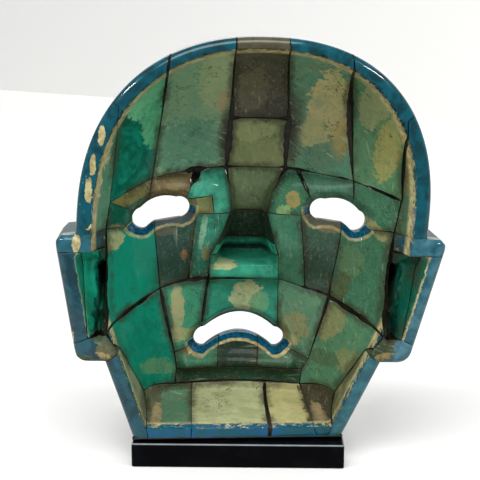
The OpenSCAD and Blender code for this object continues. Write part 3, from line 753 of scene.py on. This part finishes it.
def resin_ribbons():
    """Open ribbons just under the hollow side, half a joint wide, one for each joint side."""
    points, through, faces = [], [], []
    count = 0
    across_steps = np.array([0.0, 0.35, 0.75, 1.0])
    for name in STONES:
        tile = TILES[name]
        kinds, lines = tile[1], sides(tile)
        for side in range(4):
            if kinds[side] != "j":
                continue
            t = np.linspace(0, 1, 30)
            share = side_share(lines, kinds, side, t)
            w = across_steps[:, None] * share[None, :] * 1.06 - 0.0004
            tt = np.broadcast_to(t, w.shape)
            u, v = {0: (tt, w), 1: (1 - w, tt), 2: (tt, 1 - w), 3: (w, tt)}[side]
            grid = patch(lines, kinds, u, v)
            x, z = grid[..., 0], grid[..., 1]
            dip = 0.5 - 0.28 * across_steps[:, None] ** 2 + 0.07 * np.sin(0.9 * x + 1.3 * z)
            low = hollow_side(x, z) + dip + edge_drop(x, z)
            high = np.maximum(face_side(x, z) - 0.4, low + 0.8)
            start, end = placed(x, z, low), placed(x, z, high)
            points.append(start.reshape(-1, 3))
            through.append((end - start).reshape(-1, 3))
            index = count + np.arange(w.size).reshape(w.shape)
            quads = np.stack([index[:-1, :-1], index[:-1, 1:], index[1:, 1:], index[1:, :-1]], -1)
            faces.append(quads.reshape(-1, 4))
            count += w.size
    mesh = bpy.data.meshes.new("resin_web")
    mesh.from_pydata(np.concatenate(points).tolist(), [], np.concatenate(faces).tolist())
    attribute_layer(mesh, "through", np.concatenate(through))
    return linked("resin_web", mesh)


def resin_tree():
    """Ribbons drawn out through the shell's thickness into closed strips."""
    tree, node, start, end = geometry_tree("joint_resin", {
        "Swell": "NodeSocketFloat", "Seed": "NodeSocketFloat", "Resin": "NodeSocketMaterial"})
    position = node("GeometryNodeInputPosition")
    noise = node("ShaderNodeTexNoise", {"noise_dimensions": "4D"},
                 {"Vector": position, "W": start.outputs["Seed"], "Scale": 260.0, "Detail": 2.0})
    centred = node("ShaderNodeMath", {"operation": "SUBTRACT"}, {0: noise, 1: 0.5})
    swell = node("ShaderNodeMath", {"operation": "MULTIPLY"},
                 {0: centred, 1: start.outputs["Swell"]})
    offset = node("ShaderNodeCombineXYZ", None, {"Y": swell})
    moved = node("GeometryNodeSetPosition", None,
                 {"Geometry": start.outputs["Geometry"], "Offset": offset})
    through = node("GeometryNodeInputNamedAttribute", {"data_type": "FLOAT_VECTOR"},
                   {"Name": "through"})
    drawn = node("GeometryNodeExtrudeMesh", {"mode": "FACES"},
                 {"Mesh": moved, "Offset": through, "Offset Scale": 1.0, "Individual": False})
    back = node("GeometryNodeFlipFaces", None, {"Mesh": moved})
    both = tree.nodes.new("GeometryNodeJoinGeometry")
    tree.links.new(back, both.inputs[0])
    tree.links.new(drawn, both.inputs[0])
    merged = node("GeometryNodeMergeByDistance", None,
                  {"Geometry": both.outputs[0], "Distance": 0.000001})
    real = node("GeometryNodeRealizeInstances", None, {"Geometry": merged})
    dressed = node("GeometryNodeSetMaterial", None,
                   {"Geometry": real, "Material": start.outputs["Resin"]})
    tree.links.new(dressed, end.inputs[0])
    return tree


def bead_tree():
    """A squeezed-out bead of glue along a path."""
    tree, node, start, end = geometry_tree("glue_bead", {
        "Radius": "NodeSocketFloat", "Spacing": "NodeSocketFloat",
        "Seed": "NodeSocketFloat", "Resin": "NodeSocketMaterial"})
    curve = node("GeometryNodeMeshToCurve", None, {"Mesh": start.outputs["Geometry"]})
    even = node("GeometryNodeResampleCurve", {"mode": "LENGTH"},
                {"Curve": curve, "Length": start.outputs["Spacing"]})
    position = node("GeometryNodeInputPosition")
    noise = node("ShaderNodeTexNoise", {"noise_dimensions": "4D"},
                 {"Vector": position, "W": start.outputs["Seed"], "Scale": 190.0})
    uneven = node("ShaderNodeMath", {"operation": "MULTIPLY_ADD"}, {0: noise, 1: 1.4, 2: 0.3})
    sized = node("GeometryNodeSetCurveRadius", None, {"Curve": even, "Radius": uneven})
    ring = node("GeometryNodeCurvePrimitiveCircle", {"mode": "RADIUS"},
                {"Resolution": 10, "Radius": start.outputs["Radius"]})
    swept = node("GeometryNodeCurveToMesh", None,
                 {"Curve": sized, "Profile Curve": ring, "Scale": uneven, "Fill Caps": True})
    real = node("GeometryNodeRealizeInstances", None, {"Geometry": swept})
    dressed = node("GeometryNodeSetMaterial", None,
                   {"Geometry": real, "Material": start.outputs["Resin"]})
    tree.links.new(dressed, end.inputs[0])
    return tree


def foot_path():
    """Closed path round the chin where it stands on the base."""
    x = np.linspace(-CHIN_HALF_W, CHIN_HALF_W, 60)
    z = np.full_like(x, 0.4)
    front = placed(x, z, face_side(x, z) - 0.2)
    back = placed(x[::-1], z, np.full_like(x, 0.2))
    points = np.concatenate([front, back])
    mesh = bpy.data.meshes.new("foot_glue")
    n = len(points)
    mesh.from_pydata(points.tolist(), [(i, (i + 1) % n) for i in range(n)], [])
    return linked("foot_glue", mesh)


# ---- finishes ----------------------------------------------------------------


def rgb(code):
    """A colour from its hex code, as the shader takes it."""
    parts = [int(code[i:i + 2], 16) / 255 for i in (1, 3, 5)]
    return (*(c / 12.92 if c <= 0.04045 else ((c + 0.055) / 1.055) ** 2.4 for c in parts), 1)


class Value:
    """A socket that takes part in sums by adding Math nodes."""

    def __init__(self, finish, socket):
        self.finish, self.socket = finish, socket

    def sum(self, operation, *others):
        return self.finish.node("ShaderNodeMath", {"operation": operation},
                                dict(enumerate((self, *others))))

    def __add__(self, other):
        return self.sum("ADD", other)

    def __mul__(self, other):
        return self.sum("MULTIPLY", other)

    __radd__, __rmul__ = __add__, __mul__

    def __sub__(self, other):
        return self.sum("SUBTRACT", other)

    def __rsub__(self, other):
        return self * -1 + other

    def __truediv__(self, other):
        return self.sum("DIVIDE", other)

    def __pow__(self, other):
        return self.sum("POWER", other)

    def __abs__(self):
        return self.sum("ABSOLUTE")

    def high(self, other):
        return self.sum("MAXIMUM", other)

    def rises(self, start, end):
        """0 below start, 1 above end, smooth between; falls if start is above end."""
        if start > end:
            return 1 - self.rises(end, start)
        return self.finish.node("ShaderNodeMapRange", {"interpolation_type": "SMOOTHSTEP"},
                                {"Value": self, 1: start, 2: end, 3: 0.0, 4: 1.0})


class Finish:
    """A material and the nodes that colour it."""

    def __init__(self, name, roughness=0.4, coat=0.0, coat_roughness=0.05, specular=0.5):
        self.material = bpy.data.materials.new(name)
        self.material.use_nodes = True
        self.tree = self.material.node_tree
        self.shader = self.tree.nodes["Principled BSDF"]
        self.set("Roughness", roughness)
        self.set("Coat Weight", coat)
        self.set("Coat Roughness", coat_roughness)
        self.set("Coat IOR", 1.5)
        self.set("Specular IOR Level", specular)

    def feed(self, socket, value):
        if isinstance(value, Value):
            self.tree.links.new(value.socket, socket)
        else:
            socket.default_value = value

    def set(self, name, value):
        self.feed(self.shader.inputs[name], value)

    def node(self, kind, settings=None, inputs=None, output=0):
        made = self.tree.nodes.new(kind)
        for key, value in (settings or {}).items():
            setattr(made, key, value)
        for key, value in (inputs or {}).items():
            self.feed(made.inputs[key], value)
        return Value(self, made.outputs[output])

    def mix(self, factor, a, b):
        return self.node("ShaderNodeMix", {"data_type": "RGBA"}, {0: factor, 6: a, 7: b},
                         output=2)

    def object_mm(self, turn=(0, 0, 0), stretch=(1, 1, 1)):
        """Object coordinates in mm, turned and stretched for a pattern with a direction."""
        place = self.node("ShaderNodeTexCoord", output="Object")
        turned = self.node("ShaderNodeVectorRotate", {"rotation_type": "EULER_XYZ"},
                           {"Vector": place, "Rotation": turn})
        return self.node("ShaderNodeVectorMath", {"operation": "MULTIPLY"},
                         {0: turned, 1: tuple(s / MM for s in stretch)})

    def parts(self, vector):
        """The x, y and z of a vector."""
        split = self.tree.nodes.new("ShaderNodeSeparateXYZ")
        self.feed(split.inputs[0], vector)
        return [Value(self, out) for out in split.outputs]

    def attribute(self, name, output="Fac"):
        return self.node("ShaderNodeAttribute", {"attribute_name": name}, output=output)

    def noise(self, place, size, detail=4.0, rough=0.55, warp=0.0, seed=0.0):
        """Noise whose features are about size mm across."""
        return self.node("ShaderNodeTexNoise", {"noise_dimensions": "4D"},
                         {"Vector": place, "W": seed, "Scale": 1 / size, "Detail": detail,
                          "Roughness": rough, "Distortion": warp})

    def cells(self, place, size, seed=0.0):
        """Distance to the nearest of scattered points, about size mm apart."""
        return self.node("ShaderNodeTexVoronoi", {"voronoi_dimensions": "4D"},
                         {"Vector": place, "W": seed, "Scale": 1 / size})

    def bump(self, height, strength, distance):
        return self.node("ShaderNodeBump", None,
                         {"Strength": strength, "Distance": distance, "Height": height})


def oval(x, z, cx, cz, half_x, half_z, turn=0):
    """Distance out from the middle of an oval spot, 1 at its edge."""
    c, s = math.cos(math.radians(turn)), math.sin(math.radians(turn))
    dx, dz = x - cx, z - cz
    along, across = (dx * c + dz * s) / half_x, (dz * c - dx * s) / half_z
    return (along * along + across * across) ** 0.5


class Stone(Finish):
    """Ground and lacquered stone, with the places that its marks are laid out by."""

    def __init__(self, name, recipe, seed):
        super().__init__(name, coat_roughness=0.06, specular=0.07)
        self.recipe, self.seed = recipe, seed
        self.place = self.object_mm()
        self.x, self.z, self.depth = self.parts(self.attribute("spot", "Vector"))
        self.rim, self.hole, self.side = self.parts(self.attribute("edges", "Vector"))
        self.ragged = self.noise(self.place, 2.6, 5, 0.65, 0.4, 7.0)
        self.fine = self.noise(self.place, 0.9, 6, 0.7, 0.2, 3.0)
        self.clouds = self.noise(self.place, 9, 5, 0.6, 1.2, seed)

    def body(self):
        """Clouds of two colours, with patches of other stone, some of them painted shade, and stains along
        the joints.
        """
        recipe = self.recipe
        colour = self.mix(self.clouds.rises(0.36, 0.64), rgb(recipe["base"]),
                          rgb(recipe["second"]))
        for tint, *spot in recipe.get("patches", ()):
            reach = oval(self.x, self.z, *spot)
            inside = (reach + (self.ragged - 0.5) * 1.5 + (self.clouds - 0.5) * 0.7).rises(1.04, 0.95)
            mottled = self.mix(self.noise(self.place, 4, 4, 0.6, 0.6, 9.0).rises(0.4, 0.7),
                               rgb(tint), rgb(recipe["base"]))
            colour = self.mix(inside * 0.92, colour, self.mix(0.45, rgb(tint), mottled))
        for tint, *spot in recipe.get("smudges", ()):
            reach = oval(self.x, self.z, *spot) + (self.ragged - 0.5) * 1.2
            colour = self.mix(reach.rises(1.25, 0.45) * 0.8, colour, rgb(tint))
        creep = self.attribute("near") + (self.ragged - 0.5) * 5 + (self.clouds - 0.5) * 3
        creep = creep.rises(3.2, 0.3) * self.noise(self.place, 19, 3, 0.5, 0.5, 12.0).rises(0.36, 0.54)
        return self.mix(creep * 0.72, colour, rgb(GLUE))

    def marked(self, colour):
        """The colour with grinding strokes, cracks, pits and stains; and the surface's height."""
        recipe, place, fine = self.recipe, self.place, self.fine
        pale = rgb(recipe.get("pale", PALE))
        angle = math.radians(recipe.get("grain", 20))
        strokes = self.noise(self.object_mm((0, angle, 0), (0.07, 0.4, 0.8)), 0.9, 5, 0.65, 0.4,
                             self.seed + 1)
        amount = recipe.get("strokes", 0.42)
        colour = self.mix(strokes.rises(0.56, 0.72) * amount, colour, pale)
        colour = self.mix(strokes.rises(0.42, 0.28) * amount, colour, rgb(SHADOW))
        colour = self.mix(fine.rises(0.5, 0.75) * 0.2, colour, pale)
        colour = self.mix(fine.rises(0.46, 0.25) * 0.45, colour, rgb(SHADOW))
        veins = self.noise(place, 11, 5, 0.6, 1.6, self.seed + 2)
        crack = abs(veins - 0.5).rises(0.013, 0.002) \
            * self.noise(place, 14, 2, 0.5, 0, 5.0).rises(0.46, 0.6)
        pits = self.cells(place, 2.3, self.seed).rises(0.2, 0.08) \
            * self.noise(place, 9, 3, 0.6, 0.5, 4.0).rises(0.5, 0.62)
        stains = self.noise(place, 6.5, 6, 0.72, 1.8, self.seed + 4).rises(0.6, 0.68)
        for mark, share in ((crack, recipe.get("veins", 0.5)), (pits, recipe.get("pits", 0.5)),
                            (stains, recipe.get("stains", 0.25))):
            colour = self.mix(mark * share, colour, rgb(CRACK))
        height = strokes * 0.35 + self.clouds * 0.8 + fine * 0.25 - crack * 0.5 - pits * 0.8
        return colour, height

    def tan(self):
        return self.mix(self.noise(self.place, 3, 4, 0.6, 0.5, 6.0).rises(0.4, 0.62), rgb(TAN),
                        rgb(STRAW))

    def rimmed(self, colour, tan):
        """The colour with the painted rim band and its ragged border; and the paint's share."""
        recipe, place, ragged, fine = self.recipe, self.place, self.ragged, self.fine
        band = self.rim + (ragged - 0.5) * 3.0 + (fine - 0.5) * 1.2 + recipe.get("shift", 0.0)
        border = recipe.get("border", 2.6)
        paint = self.mix(self.noise(place, 8, 4, 0.6, 0.8, 8.0).rises(0.38, 0.62),
                         rgb(recipe.get("rim", RIM_BLUE)), rgb(recipe.get("rim_2", RIM_DEEP)))
        worn = self.mix(fine.rises(0.6, 0.72) * 0.22, paint, rgb(WORN_BLUE))
        colour = self.mix(band.rises(border + 0.5, border - 0.3) * self.depth.rises(9, 6) * 0.85,
                          colour, tan)
        on_band = band.rises(0.45, -0.1)
        islands = self.noise(place, 5.5, 4, 0.6, 0.8, 2.0).rises(0.64, 0.68) \
            * recipe.get("islands", 0.0)
        painted = self.depth.rises(7.5, 4.5)
        for spot in recipe.get("bare", ()):
            reach = oval(self.x, self.z, *spot) + (ragged - 0.5) * 1.8
            painted = painted * reach.rises(0.95, 1.1)
        blue = on_band * painted * (1 - islands)
        return self.mix(blue, self.mix(islands * on_band, colour, tan), worn), blue

    def ledged(self, colour, tan):
        """The colour with a blue ledge and a tan line under the openings; and the ledge."""
        recipe = self.recipe
        lip = self.hole + (self.ragged - 0.5) * 1.8 + (1 - self.attribute("under")) * 9
        on_hollow = self.side.rises(0.9, 0.5)
        ledge = lip.rises(3.0, 2.6)
        colour = self.mix(lip.rises(4.3, 3.8) * on_hollow * recipe.get("lip_tan", 0.5), colour, tan)
        paint = self.mix(self.fine.rises(0.4, 0.6), rgb(recipe.get("ledge", LEDGE_BLUE)),
                         rgb(recipe.get("ledge_2", RIM_DEEP)))
        return self.mix(ledge * on_hollow, colour, paint), ledge


def stone_finish(name, recipe, seed):
    f = Stone(name, recipe, seed)
    tan = f.tan()
    colour, height = f.marked(f.body())
    colour, blue = f.rimmed(colour, tan)
    colour, ledge = f.ledged(colour, tan)
    gloss = blue.high(ledge)
    f.set("Base Color", colour)
    f.set("Roughness", 0.46 - gloss * 0.28 + (f.fine - 0.5) * 0.2)
    f.set("Coat Weight", gloss * 0.28 + 0.12)
    f.set("Normal", f.bump(height, 0.5, 0.00016))
    return f.material


def resin_finish():
    f = Finish("dark joint resin", roughness=0.35, coat=0.15, coat_roughness=0.1, specular=0.1)
    place = f.object_mm()
    shade = f.noise(place, 6, 4, 0.6, 0.5)
    f.set("Base Color", f.mix(shade.rises(0.4, 0.7), rgb("#080604"), rgb("#1f160d")))
    f.set("Normal", f.bump(f.noise(place, 1.5, 3), 0.4, 0.0002))
    return f.material


def base_finish():
    f = Finish("polished black stone", specular=0.03)
    place = f.object_mm()
    cloud = f.noise(place, 14, 5, 0.6, 1.0)
    dust = f.cells(place, 3.1).rises(0.1, 0.04)
    colour = f.mix(cloud.rises(0.45, 0.7), rgb("#030305"), rgb("#07080a"))
    colour = f.mix(dust * 0.25, colour, rgb("#232629"))
    # Painted highlight: a light grey band along the top arris stands in for the lamps' reflection there.
    painted_edge_highlight = f.attribute("painted_highlight_arris") * (0.35 + f.noise(place, 9, 3) * 0.6)
    f.set("Base Color", f.mix(painted_edge_highlight, colour, rgb("#8d9294")))
    f.set("Roughness", f.noise(place, 5, 4) * 0.12 + 0.08)
    f.set("Normal", f.bump(f.noise(place, 7, 3), 0.12, 0.0002))
    return f.material

# ---- stones by name ----------------------------------------------------------

SEA = "#2f8f70"
PALE, SHADOW, CRACK, GLUE = "#9aa886", "#1c2c22", "#15130d", "#2a2618"
TAN, STRAW = "#8d7a4e", "#aea77c"
RIM_BLUE, RIM_DEEP, WORN_BLUE, LEDGE_BLUE = "#054551", "#062d34", "#33706f", "#0a4f6c"
SLATE, SLATE_DEEP, BRIGHT_BLUE = "#19454f", "#122e36", "#06486a"
EMERALD, EMERALD_DEEP = "#05705a", "#034838"
# These sage colours are painted lighter: painted light that makes up for the dim forehead.
SAGE_WITH_PAINTED_LIGHT, SAGE_GREEN_WITH_PAINTED_LIGHT = "#6e8a67", "#46785f"
CREAM = "#a3a278"

# The forehead stones' colours are painted lighter, painted light that makes up for the little lamp light
# reaching the forehead.
RECIPES = {
    "crown": dict(base="#454031", second="#36342a", grain=88, rim="#373225", rim_2="#454232",
                  patches=[("#54503c", 3, 146, 7, 9, 0)], veins=0.3),
    "brow_centre": dict(base="#72794f", second="#646f47", grain=75,
                        patches=[("#80885b", 1, 128, 9, 5, 0)]),
    "glabella": dict(base="#62714d", second="#546646", grain=90),
    "left_forehead": dict(base=SAGE_WITH_PAINTED_LIGHT, second="#638767", grain=28, strokes=0.6, stains=0.5, veins=0.9,
                          patches=[(SAGE_GREEN_WITH_PAINTED_LIGHT, 29, 120, 17, 13, 0), ("#86946b", 18, 150, 8, 14, 0)],
                          smudges=[("#383322", 11.5, 127, 5, 14), ("#8e7e59", 15, 141, 3, 5)]),
    "left_temple": dict(pale=SEA, base=EMERALD, second=EMERALD_DEEP, grain=80, strokes=0.25,
                        patches=[("#63a77a", 49, 147, 10, 14, 20), ("#549c6f", 44, 130, 5, 10, 0)]),
    "left_side": dict(base="#3d6f58", second="#4c7058", islands=1.0, border=5,
                      bare=[(64.5, 128, 1.3, 4.5), (67.5, 116, 1.2, 4), (68.8, 105, 1.4, 5)],
                      patches=[(STRAW, 64, 124, 3, 10, 0), (CREAM, 66, 108, 2, 8, 0)]),
    "right_forehead": dict(base="#5c7658", second=SAGE_GREEN_WITH_PAINTED_LIGHT, grain=35, strokes=0.6, stains=0.8, veins=0.9,
                           patches=[("#a69c69", -31, 140, 9.5, 15, 0), ("#959362", -25, 127, 7, 6, 20),
                                    ("#4b6d56", -31, 117, 9, 6, 0)],
                           smudges=[("#332e1f", -15.5, 129, 5.5, 20), ("#95824a", -38, 126, 5, 9)]),
    "right_temple": dict(base="#4e7251", second="#426b49", grain=75, stains=0.7, border=4,
                         patches=[("#89834c", -56, 123, 5, 14, 0), ("#80845b", -48, 144, 6, 13, 0)]),
    "right_side": dict(base="#43553c", second="#335640", border=1.6, stains=0.8,
                       patches=[("#6a6741", -64, 118, 2, 13, 0)]),
    # The nose ridge stone's near-black colour is painted shade of the deep nose hollow.
    "nose_ridge": dict(base="#1f3325", second="#17271c", grain=90),
    "nose_base": dict(pale=SEA, base="#40bb98", second="#2b9779", grain=0),
    "philtrum": dict(pale=SEA, base="#2f8b6f", second="#22755c", grain=0,
                     patches=[("#9d9f70", 9.5, 66.6, 6, 1.9, 0)]),
    "upper_lip": dict(pale=SEA, base="#2c866d", second="#22715a", grain=85, stains=0.5,
                      patches=[("#aaa679", -2, 52, 7, 8, 10), ("#639269", -8, 49, 4, 6, 0)]),
    "left_socket": dict(pale=SEA, base="#43967d", second="#2e7a62", grain=30, pits=0.9),
    "left_eye_corner": dict(base="#6a6d42", second="#5c6440", grain=30),
    "left_lid": dict(base="#786b45", second="#63563a", grain=85, ledge="#6d5f3f", lip_tan=0.8),
    "left_outer_lid": dict(base="#57562f", second="#65603c", grain=60,
                           patches=[("#05543f", 52, 93.5, 9, 2.6, -32)]),
    "left_outer_eye": dict(pale=SEA, base="#034030", second="#054d3a", grain=80,
                           patches=[("#929166", 58, 83, 5, 5.5, 30)]),
    "left_nose_side": dict(base="#2c745f", second="#1f5a48", grain=86, strokes=0.6,
                           patches=[("#6d6f48", 18, 73, 2, 3.4, 0), ("#6f957a", 20, 84, 1.3, 8, 5)]),
    "left_under_eye": dict(base="#1b3b34", second="#2a4237", grain=85, ledge="#4d4436", ledge_2="#2b4a55",
                           patches=[("#7b5c38", 27.6, 73, 1.6, 2.4, 0), ("#4b4a3c", 38, 84, 7, 2, 0)]),
    "left_cheek": dict(pale=SEA, base="#0c6a55", second=EMERALD, grain=82, strokes=0.3,
                       patches=[("#888a63", 58.5, 82, 4.5, 4.5, 30)]),
    "left_smile": dict(pale=SEA, base="#2c7459", second="#3a7c5e", grain=75, strokes=0.35,
                       patches=[("#8f8d62", 29, 48, 3, 11, -6), ("#8a8a5c", 27, 35, 7, 3.5, 0)]),
    "left_jaw": dict(pale=SEA, base="#05725b", second="#056550", grain=70, strokes=0.2,
                     patches=[("#4b7452", 35, 21, 9, 3.5, 20)]),
    "right_socket": dict(base="#33634a", second="#2b5a44", grain=20, pits=0.8,
                         patches=[("#877a46", -18.5, 98, 3, 3.6, 0), ("#74935f", -15, 93, 3, 3, 0)]),
    "right_lid": dict(base="#406b56", second="#375f48", grain=80),
    "right_outer_eye": dict(base="#37634a", second="#305841", grain=75,
                            patches=[("#7c7b52", -55, 86.5, 6.5, 2.6, 38)]),
    "right_nose_side": dict(base="#2f6049", second="#3a6b52", grain=85, strokes=0.5),
    "right_under_eye": dict(base="#2f4839", second="#2a4033", grain=88, ledge="#5a4c3c", ledge_2="#3f4a40",
                            patches=[("#5c5440", -38, 86, 7, 2, 0)]),
    "right_cheek": dict(base="#325a42", second="#2c513c", grain=82, strokes=0.3, stains=0.5,
                        patches=[("#3c4427", -43, 60, 3.4, 9, 12),
                                 ("#75754e", -55, 86.5, 6.5, 2.6, 38),
                                 ("#435f40", -46, 72, 6, 7, 0)]),
    "right_smile": dict(base="#466f55", second="#507256", grain=70, stains=0.4,
                        patches=[("#75744c", -25, 38, 6, 8, 0), ("#837e54", -22, 32, 5, 3, 0)]),
    "right_jaw": dict(base="#446a4a", second="#3c644b", grain=65, stains=0.8,
                      patches=[("#706e46", -39, 43, 6, 9, 20), ("#696a44", -49, 28, 7, 5, -40),
                               ("#3d5238", -38, 26, 6, 4, 0)]),
    "lower_lip_left": dict(base="#326348", second="#285840", grain=5,
                           patches=[("#6b4f2d", 20, 27.5, 7, 3, 0)], lip_tan=0.5),
    "lower_lip_centre": dict(base="#19261c", second="#132c20", grain=0, lip_tan=0.9),
    "lower_lip_right": dict(base="#315239", second="#284a35", grain=5,
                            patches=[("#6a5c3b", -19, 29, 6, 3, 0)], lip_tan=0.9),
    # The chin front stone's dark green is partly its own colour and partly painted shade under the lower
    # lip bar.
    "chin_front": dict(base="#143725", second="#1f3b2a", grain=0),
    # The chin stones' colours are scaled darker to offset the light that reaches the chin: painted shade.
    "chin_left": dict(base="#55563f", second="#454a38", grain=20,
                      patches=[("#3e664d", 27, 6.5, 7, 4.5, 0), ("#857755", 35.5, 3, 3, 4, 0)],
                      rim=BRIGHT_BLUE, rim_2=RIM_BLUE, border=1.2),
    "chin_centre": dict(base="#93966f", second="#81845f", grain=10, veins=1.0, stains=0.75,
                        rim=BRIGHT_BLUE, rim_2=RIM_BLUE, border=1.2, pits=0.2),
    "chin_right": dict(base="#9d9566", second="#8b8a5d", grain=10,
                       patches=[("#373226", -37, 12, 8, 10, 0)], rim=BRIGHT_BLUE, rim_2=RIM_BLUE,
                       border=1.2, stains=0.1, pits=0.2),
    "chin_corner": dict(base="#3f3829", second="#342f23", grain=30, border=1.2,
                        patches=[("#857353", -36, 3, 4, 4, 0)]),
    "left_jaw_rim": dict(base="#4f6f60", second="#7a7a58", rim=SLATE, rim_2=SLATE_DEEP),
    "right_jaw_rim": dict(base="#5c6c50", second="#857c52", rim=SLATE, rim_2="#2a5a62"),
    "left_ear_top": dict(base=SLATE, second=SLATE_DEEP, rim=SLATE, rim_2="#265662",
                         bare=[(72.6, 83.5, 1.6, 4)]),
    "left_ear_side": dict(pale=EMERALD, base="#07634f", second="#054f3e", rim=SLATE, rim_2=SLATE_DEEP,
                          border=0.2, shift=0.8, bare=[(73, 43, 1.3, 4.5)]),
    # The near-black patch on the left ear's face stone is painted shade of the deep ear pocket.
    "left_ear_face": dict(base="#0b8064", second="#086a52", pale=SEA, border=0.2, shift=0.8,
                          grain=84, strokes=0.5, patches=[("#040d09", 58.5, 60, 6.2, 46, 0)]),
    "left_ear_floor": dict(base="#2c4c3c", second="#54523a", rim=SLATE, rim_2=SLATE_DEEP, border=-9,
                           bare=[(56, 38, 6, 5), (68, 35, 4, 1.5)], stains=0.6,
                           patches=[("#8a7c52", 60, 36, 4, 1.6, 15)]),
    "right_ear_top": dict(base=SLATE, second=SLATE_DEEP, rim="#34606c", rim_2=SLATE),
    "right_ear_side": dict(pale=EMERALD, base="#074838", second="#063a2c", rim="#34606c", rim_2=SLATE,
                           border=0.8, shift=2.2),
    # The near-black patch on the right ear's face stone is painted shade of the deep ear pocket.
    "right_ear_face": dict(base="#074838", second="#063a2c", pale=EMERALD, border=0.8, shift=2.2,
                           grain=84, strokes=0.5, patches=[("#07150f", -58.5, 60, 6.2, 46, 0)]),
    "right_ear_floor": dict(base="#3a3c26", second="#22301f", rim=SLATE, rim_2="#3f6672", border=-9,
                            bare=[(-57, 39, 7, 5)], stains=0.6,
                            patches=[("#75683f", -59, 36, 5, 1.8, -15)]),
}


# ---- making everything -------------------------------------------------------


def base_stone():
    """The base as a block with softly rounded edges and a lapped, slightly uneven polish."""
    work = bmesh.new()
    bmesh.ops.create_cube(work, size=1)
    centre, size = (BASE_LOW + BASE_HIGH) / 2, BASE_HIGH - BASE_LOW
    for v in work.verts:
        v.co = Vector(c + s * p for c, s, p in zip(centre, size, v.co))
    bmesh.ops.bevel(work, geom=work.edges[:], offset=0.8 * MM, segments=4, profile=0.5,
                    affect="EDGES")
    mesh = bpy.data.meshes.new("black_base")
    work.to_mesh(mesh)
    work.free()
    # Marks the band of the top arris where a highlight is painted.
    drop = np.array([BASE_HIGH.z - v.co.z for v in mesh.vertices]) / MM
    attribute_layer(mesh, "painted_highlight_arris", (drop > 0.1) & (drop < 0.6))
    mesh.shade_smooth()
    made = linked("black_base", mesh)
    weighted = made.modifiers.new("even shading", "WEIGHTED_NORMAL")
    weighted.keep_sharp = True
    return made


def dress(piece, material):
    piece.data.materials.clear()
    piece.data.materials.append(material)


def keep(piece, node, material, stands_in=True):
    """A finished piece on the root body, dressed in its material and mostly in a CAD node's place; the node
    is hidden when the piece stands in for it.
    """
    dress(piece, material)
    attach(piece, "root")
    if stands_in:
        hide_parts(node)


for number, name in enumerate(STONES):
    finish = stone_finish(name + " stone", RECIPES[name], float(number))
    keep(cut_stone(name + "_stone", TILES[name], number), name + "_tile", finish)

resin = resin_finish()
keep(baked("joint_resin", resin_ribbons(), resin_tree(),
           {"Swell": 0.25 * MM, "Seed": 3.0, "Resin": resin}), "resin_joints", resin)
keep(baked("foot_bead", foot_path(), bead_tree(),
           {"Radius": 0.5 * MM, "Spacing": 1.1 * MM, "Seed": 5.0, "Resin": resin}),
     "base_epoxy", resin, stands_in=False)
dress(frame["nodes"]["base_epoxy"], resin)
keep(base_stone(), "base_block", base_finish())

# ---- studio ------------------------------------------------------------------


def sheet(name, corners, code, glow):
    """A flat piece of the studio, which glows far behind the mask."""
    mesh = bpy.data.meshes.new(name)
    mesh.from_pydata(corners, [], [range(len(corners))])
    f = Finish(name, roughness=0.55)
    f.set("Base Color", rgb(code))
    far = f.parts(f.object_mm())[1].rises(-250.0, -1500.0)
    f.set("Emission Color", f.mix(far, (0, 0, 0, 1), rgb(code)))
    f.set("Emission Strength", glow)
    mesh.materials.append(f.material)
    linked(name, mesh)


sheet("table_top", [(-6, -8, 0), (6, -8, 0), (6, 0.32, 0), (-6, 0.32, 0)], "#d3d3d1", 0.8)
sheet("wall", [(4.5, -6.3, 0), (-4.5, 2.0, 0), (-4.5, 2.0, 5), (4.5, -6.3, 5)], "#e6e5e3", 0.26)


def aimed(name, data, place, target):
    """A lamp or a camera that looks at a point."""
    made = linked(name, data)
    made.location = place
    made.rotation_mode = "QUATERNION"
    made.rotation_quaternion = (Vector(target) - Vector(place)).to_track_quat("-Z", "Y")
    return made


def lamp(name, place, size, watts):
    light = bpy.data.lights.new(name, "AREA")
    light.shape = "RECTANGLE"
    light.size, light.size_y = size
    light.energy = watts
    aimed(name, light, place, MIDDLE)


MIDDLE = (0, 0, 0.09)
lamp("ceiling softbox", (0.1, 0.75, 1.2), (0.9, 0.7), 17.5)
lamp("left strip", (0.85, 0.5, 0.9), (0.42, 0.035), 9)
lamp("right strip", (-0.85, 0.5, 0.9), (0.42, 0.035), 9)
lamp("far fill", (0.0, -1.2, 0.8), (1.0, 0.7), 5)

world = bpy.data.worlds.new("pale room")
world.use_nodes = True
background = world.node_tree.nodes["Background"]
background.inputs["Color"].default_value = (0.95, 0.97, 1.0, 1)
background.inputs["Strength"].default_value = 0.42
bpy.context.scene.world = world
bpy.context.scene.view_settings.view_transform = "Standard"

DISTANCE, HEIGHT_ANGLE, SIDE_ANGLE = 0.52, math.radians(10), math.radians(-1.5)
AIM = Vector((-0.0009, RIM_Y * MM, 0.097))
back = Vector((math.sin(SIDE_ANGLE) * math.cos(HEIGHT_ANGLE),
               math.cos(SIDE_ANGLE) * math.cos(HEIGHT_ANGLE), math.sin(HEIGHT_ANGLE)))
lens = bpy.data.cameras.new("camera")
lens.sensor_width = 36
lens.lens = 94.2
bpy.context.scene.camera = aimed("camera", lens, AIM + back * DISTANCE, AIM)
